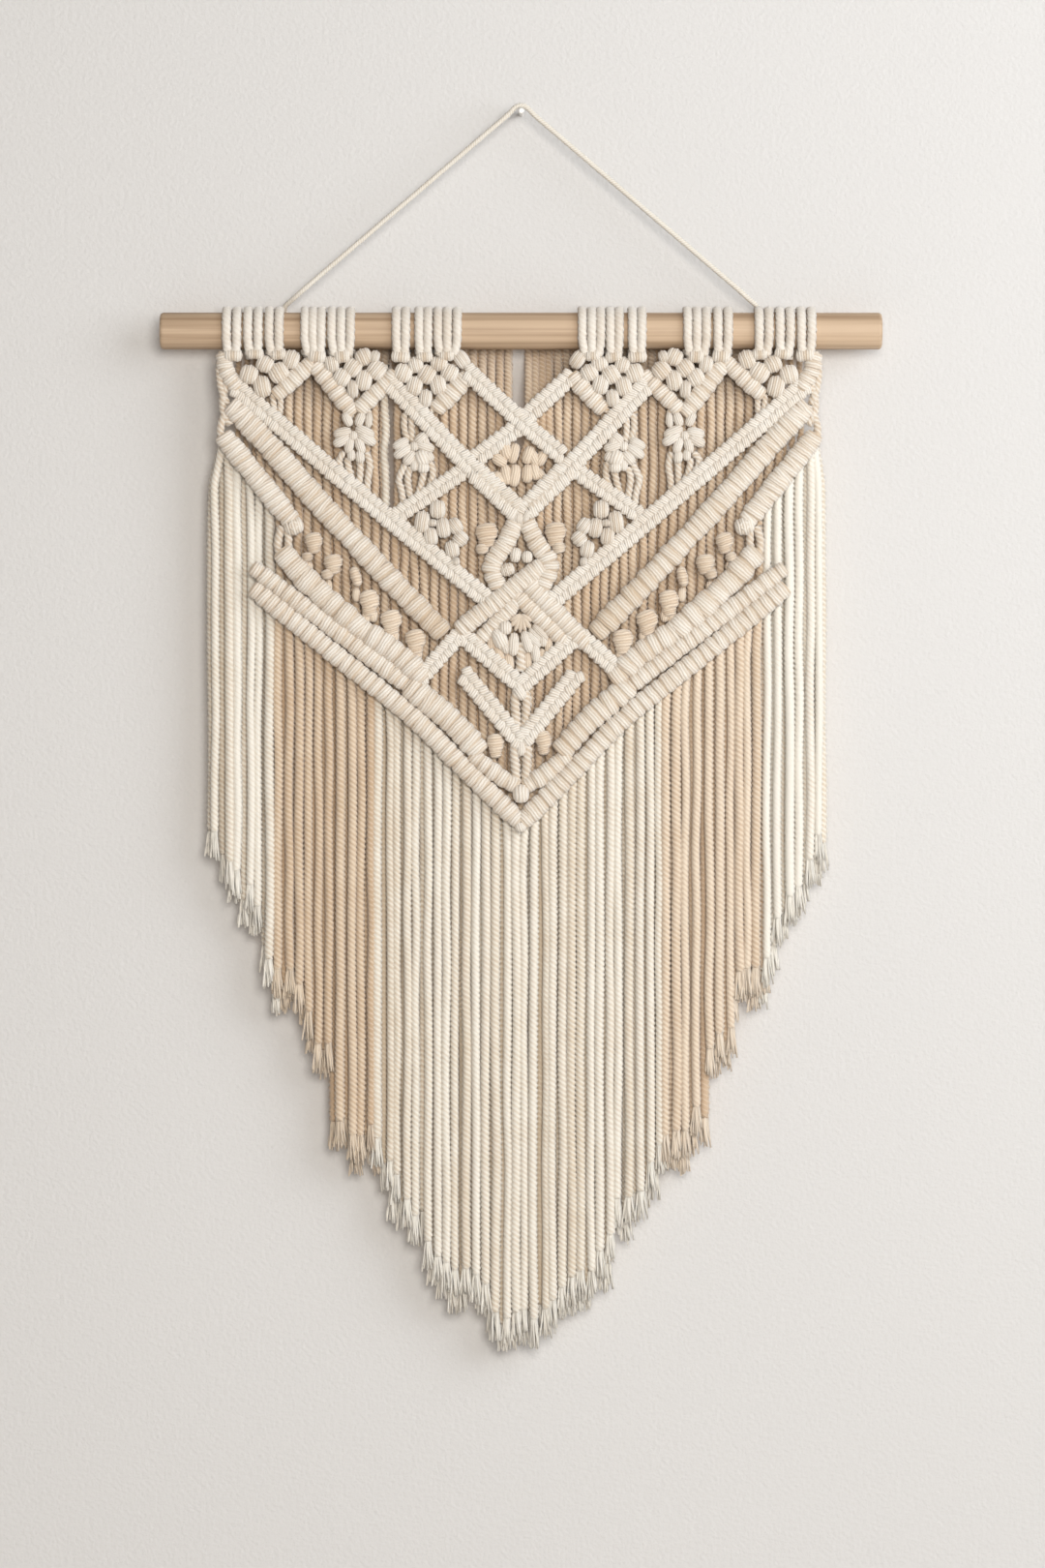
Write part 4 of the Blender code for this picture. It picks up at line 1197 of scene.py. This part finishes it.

# %% [markdown]
# ## Tan cords behind the knots
#
# Fifty-five tan cords hang behind the knotwork from a heading of their own, a row of small turns
# behind the dowel. They come forward under the dowel, hang straight down, and end behind the
# lowest bars. Thinner cords close the gaps behind them, painted darker: painted shade. A cloth or
# rope simulation would let them settle, but a small random sway looks the same and keeps every cord in
# its place.

# %% Chart of the back cords
BACK_CORDS = 55
BACK_R, BACK_CORD_Y = 3.0 * MM, -0.7 * MM
SECOND_BACK_R, SECOND_BACK_Y = 2.3 * MM, 3.9 * MM
# the second row is painted darker than the first: painted shade
SECOND_SHADE, SECOND_ASIDE = 0.45, 1.7  # darker, and pushed further aside by an opening
SECOND_EDGE = (27.5, 28.4, 29.3)  # three more cords of the second row, close to the edge
HEADING_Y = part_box("back_cords")[1].y - 1.5 * MM
HEADING_R, HEADING_HALF = 3.6 * MM, 1.7 * MM  # one of its turns: radius, and half front to back
BACK_LEVELS = ((0.0, -1.0), (0.5, 9.0), (-10.5, 26.0))  # from the heading: Y and below it, in mm
BACK_TOP = 46 * MM  # a cord hangs straight from this far below the dowel's middle
LOWEST = ((0.0, 74.1), (11.1, 62.4), (19.35, 56.0), (27.2, 49.9))
THIRD = ((22.8, 43.4), (30.4, 34.2))
LONG_ONES = (23.6, 25.2)  # the cords from here to here pass the third bar
BACK_OVERLAP = 0.4  # the cords end this far above the bar's middle, in pitches
SWAY = 0.6 * MM
OPENINGS = (
    # where two cords stand apart: across, from and to down, then how far each side gives way
    (-0.2, 22.0, 34.0, 0.45, 0.85), (-13.5, 26.0, 42.0, 0.2, 0.35),
)
GIVES_WAY = 3.2  # cords up to this far from an opening move
PALE_STRAND = (-14.05, 26.5, 42.5)  # a cream strand among the tan ones: across, from and to down
print("back cords:", BACK_CORDS)

# %% Heading and back cords
FULL_TURN = 6.28


def read_chart(rows, across):
    """How far down a charted line is at a place across."""
    return float(np.interp(across, [a for a, _ in rows], [d for _, d in rows]))


def back_end(across):
    is_short = across > THIRD[0][0] + 0.5 and not LONG_ONES[0] < across < LONG_ONES[1]
    return read_chart(THIRD if is_short else LOWEST, across) - BACK_OVERLAP


def hanging_line(x, top_z, low_z, y, steps=7):
    """A cord's line straight down, with a small sway."""
    line = []
    for k in range(steps + 1):
        share = k / steps
        sway = 0.0 if k == 0 else chance.uniform(-SWAY, SWAY)
        line.append(Vector((x + sway, y + abs(sway) * 0.3, top_z + (low_z - top_z) * share)))
    return line


def moved_aside(across, down):
    """How far a back cord is pushed aside at a height, next to an opening."""
    moved = 0.0
    for place, top, foot, left, right in OPENINGS:
        near = max(0.0, 1 - abs(across - place) / GIVES_WAY)
        if top < down < foot:
            moved += right * near if across >= place else -left * near
    return moved


def back_cord(across, y, radius, per_lay, shade, aside=1.0):
    x = at(across, 0, 0).x
    line = [Vector((x, HEADING_Y + ahead * MM, ROD_Z - below * MM)) for ahead, below in BACK_LEVELS]
    line[-1].y += y - BACK_CORD_Y
    line += hanging_line(x, ROD_Z - BACK_TOP, -back_end(abs(across)) * PITCH, y, 14)
    for place in line:
        place.x += moved_aside(across, -place.z / PITCH) * aside * PITCH
    shade += chance.uniform(-0.25, 0.2)
    return laid_cord(smooth_route(line, 3), radius, per_lay, shade, chance.uniform(0, FULL_TURN))


back_places = [number - (BACK_CORDS - 1) / 2 for number in range(BACK_CORDS)]
second_places = [across + 0.5 for across in back_places[:-1]]
second_places += [side * across for side in (LEFT, RIGHT) for across in SECOND_EDGE]
back_shapes = [back_cord(across, BACK_CORD_Y, BACK_R, 6, 0.05) for across in back_places]
turn_axes = ((0, 0, HEADING_R), (0, HEADING_HALF, 0), (-HEADING_R, 0, 0))
for across in back_places:
    place = (at(across, 0, 0).x, HEADING_Y, ROD_Z)
    back_shapes.append(stamp(TURN, place, turn_axes, chance.uniform(-0.1, 0.1)))
# the second row behind is painted darker: painted shade in the gaps
second_shapes = []
for across in second_places:
    row = (SECOND_BACK_Y, SECOND_BACK_R, 4, SECOND_SHADE, SECOND_ASIDE)
    second_shapes.append(back_cord(across, *row))
make_piece("second_back_cords", second_shapes, TAN, "back_cords", slot="tan_cotton")
across, top, foot = PALE_STRAND
strand = hanging_line(at(across, 0, 0).x, -top * PITCH, -foot * PITCH, BACK_CORD_Y - 2.0 * MM)
make_piece("pale_strand", [laid_cord(smooth_route(strand, 3), BACK_R)], SOFT_CREAM, "back_cords")
make_piece("tan_back_cords", back_shapes, TAN, "back_cords", slot="tan_cotton")

# %% [markdown]
# ## The fringe
#
# The fringe hangs from the third bar at the sides and from the lowest bar in the middle. It has a
# front row and a second row that closes the gaps. Every cord is cut at its own length, so the
# blocks step down to the point in the middle, and its last stretch is combed out. Hair would draw
# finer ends, but it has no faces to keep, so an end is fifteen wisps that spread as they fall.

# %% Fringe helpers
FRINGE_R = 3.45 * MM
FRINGE_ROWS = (
    # front, then second: Y in mm, rings a lay, shorter by, warmer by (painted shade darkens the second
    # row, the front a touch paler), thinnest, strays by
    (-1.3, 6, (0.0, 2.0), -0.05, 0.86, 0.25),
    (3.7, 5, (-1.0, 1.6), 0.4, 1.0, 0.1),
)
WIDEST = 30.6  # the outermost cords start no further out, behind the end of the bar
WIDEST_RIGHT = 31.5  # the right edge hangs straighter
TIPS = (
    (0.0, 129.0), (0.8, 129.0), (2.9, 127.0), (5.2, 124.3), (7.3, 123.7), (9.7, 121.0),
    (10.1, 118.0), (12.3, 115.7), (14.0, 112.8), (15.1, 109.4), (17.3, 109.6), (19.2, 107.6),
    (19.6, 100.6), (20.9, 100.3), (22.2, 97.6), (22.6, 93.9), (23.9, 93.4), (25.9, 92.8),
    (27.1, 86.6), (28.0, 85.2), (29.1, 83.7), (30.5, 80.6), (32.3, 78.0),
)
COMBED = 17.5 * MM
WISPS = 15
TUCKED = 2.5 * MM  # a wisp starts this far inside its cord
RING, FLAT = 0.45, 0.7  # the wisps start on a ring: share of the cord's radius, depth to width
SETTLED = 4 * PITCH  # below the bar, where a cord has come most of the way to its own place
SETTLE_SHARE = 0.8


def combed_end(foot, radius, shade):
    """A cord's combed end: wisps that start inside the cord and spread as they fall."""
    shapes = []
    for k in range(WISPS):
        angle = 2 * math.pi * (k + chance.random()) / WISPS
        out = Vector((math.cos(angle), math.sin(angle) * FLAT, 0))
        start = foot + out * radius * RING + Vector((0, 0, TUCKED))
        length = COMBED * chance.uniform(0.82, 1.2)
        spread = out * chance.uniform(-0.04, 0.15) * length
        thick = radius * chance.uniform(0.22, 0.36)
        across = Vector((math.cos(angle + 1.2), math.sin(angle + 1.2), 0)) * thick
        axes = (across, Vector((-across.y, across.x, 0)), Vector((0, 0, length)) - spread)
        shapes.append(stamp(WISP, start, axes, min(shade, 0.0) + chance.uniform(-0.4, 0.05)))
    return shapes


def fringe_cord(start, across, top, tip, y, radius, per_lay, shade):
    """One cord, from its place behind the bar to its combed end."""
    line = hanging_line(at(across, 0, 0).x, -top * PITCH, -tip * PITCH + COMBED, y)
    line[0].x = at(start, 0, 0).x
    x = line[1].x * SETTLE_SHARE + line[0].x * (1 - SETTLE_SHARE)
    line.insert(1, Vector((x, y, line[0].z - SETTLED)))
    turn = chance.uniform(0, FULL_TURN)
    cord = laid_cord(smooth_route(line, 3), radius, per_lay, shade, turn, ends=(1, 1, 1, 0.8))
    return [cord] + combed_end(line[-1], radius, shade)


def fringe_block(name, node, places, top_line, finish, slot, tone_and_light):
    """A block of fringe: a front row, and a second row between its cords."""
    shapes = []
    beyond = math.copysign(0.5, places[0] - places[1])
    between = [(a + b) / 2 for a, b in zip(places, places[1:])]
    between = [places[0] + beyond] + between + [places[-1] - beyond]
    for where, row in zip((places, between), FRINGE_ROWS):
        y, per_lay, shorter, warmer, thinnest, strays = row
        for across in where:
            start = math.copysign(min(abs(across), WIDEST), across)
            top = read_chart(top_line, abs(start)) - 0.5
            tip = read_chart(TIPS, abs(across)) - chance.uniform(*shorter)
            radius = FRINGE_R * chance.uniform(thinnest, 1.06)
            # painted shade darkens the second row; the right-hand blocks are painted paler, as painted
            # light
            shade = tone_and_light + warmer + chance.uniform(-0.28, 0.24)
            moved = min(across + chance.uniform(-strays, strays), WIDEST_RIGHT)
            depth = (y + chance.uniform(-0.6, 0.6)) * MM
            shapes += fringe_cord(start, moved, top, tip, depth, radius, per_lay, shade)
    make_piece(name, shapes, finish, node, slot=slot)


# %% Fringe
EDGE_PLACES = (31.4, 30.3, 29.2, 28.1, 26.95, 26.0)
TAN_PLACES = (24.95, 24.0, 23.0, 22.0, 20.9, 19.8, 18.7, 17.6, 16.6, 15.5)
MIDDLE_CORDS, MIDDLE_HALF = 30, 14.7
EDGE_TOP = ((25.2, 40.6), (30.4, 34.4), (32.6, 33.4))
SIDE_BLOCKS = (
    # block, places, its top line, slot, then the finish and tone on the left and on the right; the
    # right-hand blocks are paler: painted light, where light falls from the right
    ("edge", EDGE_PLACES, EDGE_TOP, "cream_cotton", (SOFT_CREAM, -0.3), (SOFT_CREAM, -0.6)),
    ("tan", TAN_PLACES, LOWEST, "tan_cotton", (TAN, 0.0), (PALE_TAN, -0.2)),
)
for side, hand in ((LEFT, "left"), (RIGHT, "right")):
    for block, places, top_line, slot, *looks in SIDE_BLOCKS:
        # the right-hand finish and tone are paler: painted light
        finish, tone_and_light = looks[side > 0]
        places = [side * place for place in places]
        name, node = f"{block}_fringe_{hand}", f"fringe_{block}_{hand}"
        fringe_block(name, node, places, top_line, finish, slot, tone_and_light)
step = 2 * MIDDLE_HALF / (MIDDLE_CORDS - 1)
places = [-MIDDLE_HALF + step * k for k in range(MIDDLE_CORDS)]
fringe_block("middle_fringe", "fringe_middle", places, LOWEST, SOFT_CREAM, "cream_cotton", -0.1)

# %% [markdown]
# ## Wall and floor
#
# The hanging is seen against a pale plastered wall, with a pale floor far below. Neither is part
# of it. A box for a room would hide the back, so both are single planes that the camera sees
# through from behind, and the wall casts no shadow, so a light behind it reaches the back.

# %% Wall and floor
WALL_Y = 21.9 * MM
WALL_HALF = 4.0
FLOOR_Z = -1.5


def plaster_finish():
    finish, tree, shader = new_finish("plaster", roughness=0.95, specular=0.1)
    places = object_places(tree)
    cloud = noise_node(tree, places, 3.0)
    colour = mix_colours(tree, cloud, (0.62, 0.602, 0.586, 1), (0.604, 0.587, 0.571, 1))
    grain = noise_node(tree, places, 380.0, 3.0)
    add_look(tree, shader, colour, grain, strength=0.5, depth=1.2 * MM)
    behind = add_node(tree, "NewGeometry").outputs["Backfacing"]
    clear = add_node(tree, "BsdfTransparent").outputs[0]
    either = add_node(tree, "MixShader", {0: behind, 1: shader.outputs[0], 2: clear})
    tree.links.new(either.outputs[0], tree.nodes["Material Output"].inputs["Surface"])
    return finish


def stage_plane(name, location, rotation, finish):
    deselect_all()
    bpy.ops.mesh.primitive_plane_add(size=2 * WALL_HALF, location=location, rotation=rotation)
    plane = bpy.context.object
    plane.name = name
    plane.data.materials.append(finish)
    plane.select_set(False)
    return plane


PLASTER = plaster_finish()
wall = stage_plane("wall", (0, WALL_Y, 0), (math.pi / 2, 0, 0), PLASTER)
wall.visible_shadow = False
stage_plane("floor", (0, WALL_Y - WALL_HALF, FLOOR_Z), (0, 0, 0), PLASTER)
print("wall and floor:", 2 * WALL_HALF, "m wide")

# %% [markdown]
# ## Light
#
# A broad warm light in front fills the room. A cooler one on the right stands nearer to the wall,
# so it rakes over the knots and throws their soft shadow to the left. A third shines on the back,
# and a dim warm world fills what they miss. Disks this large give shadows without hard edges.

# %% Light
MIDDLE_OF_WORK = (0.0, 0.0, -0.38)
LIGHTS = (
    # name, place, size in metres, watts, colour
    ("key", (1.3, -1.15, 0.15), 1.5, 20.0, (0.92, 0.985, 1.05)),
    ("fill", (0.4, -3.8, 0.1), 1.5, 99.0, (1.0, 0.97, 0.925)),
    ("back", (0.9, 3.2, 0.6), 1.6, 60.0, (1.0, 0.93, 0.85)),
)
WORLD_COLOUR, WORLD_STRENGTH = (1.0, 0.965, 0.92, 1), 0.22
for name, place, size, watts, colour in LIGHTS:
    data = bpy.data.lights.new(name, "AREA")
    data.shape, data.size, data.energy, data.color = "DISK", size, watts, colour
    light = bpy.data.objects.new(name, data)
    light.location = place
    light.visible_camera = False
    ahead = Vector(MIDDLE_OF_WORK) - Vector(place)
    light.rotation_euler = ahead.to_track_quat("-Z", "Y").to_euler()
    bpy.context.scene.collection.objects.link(light)
world = bpy.data.worlds.new("soft_room")
world.use_nodes = True
background = world.node_tree.nodes["Background"].inputs
background["Color"].default_value = WORLD_COLOUR
background["Strength"].default_value = WORLD_STRENGTH
bpy.context.scene.world = world
bpy.context.scene.view_settings.view_transform = "Standard"
print("lights:", [name for name, *_ in LIGHTS])
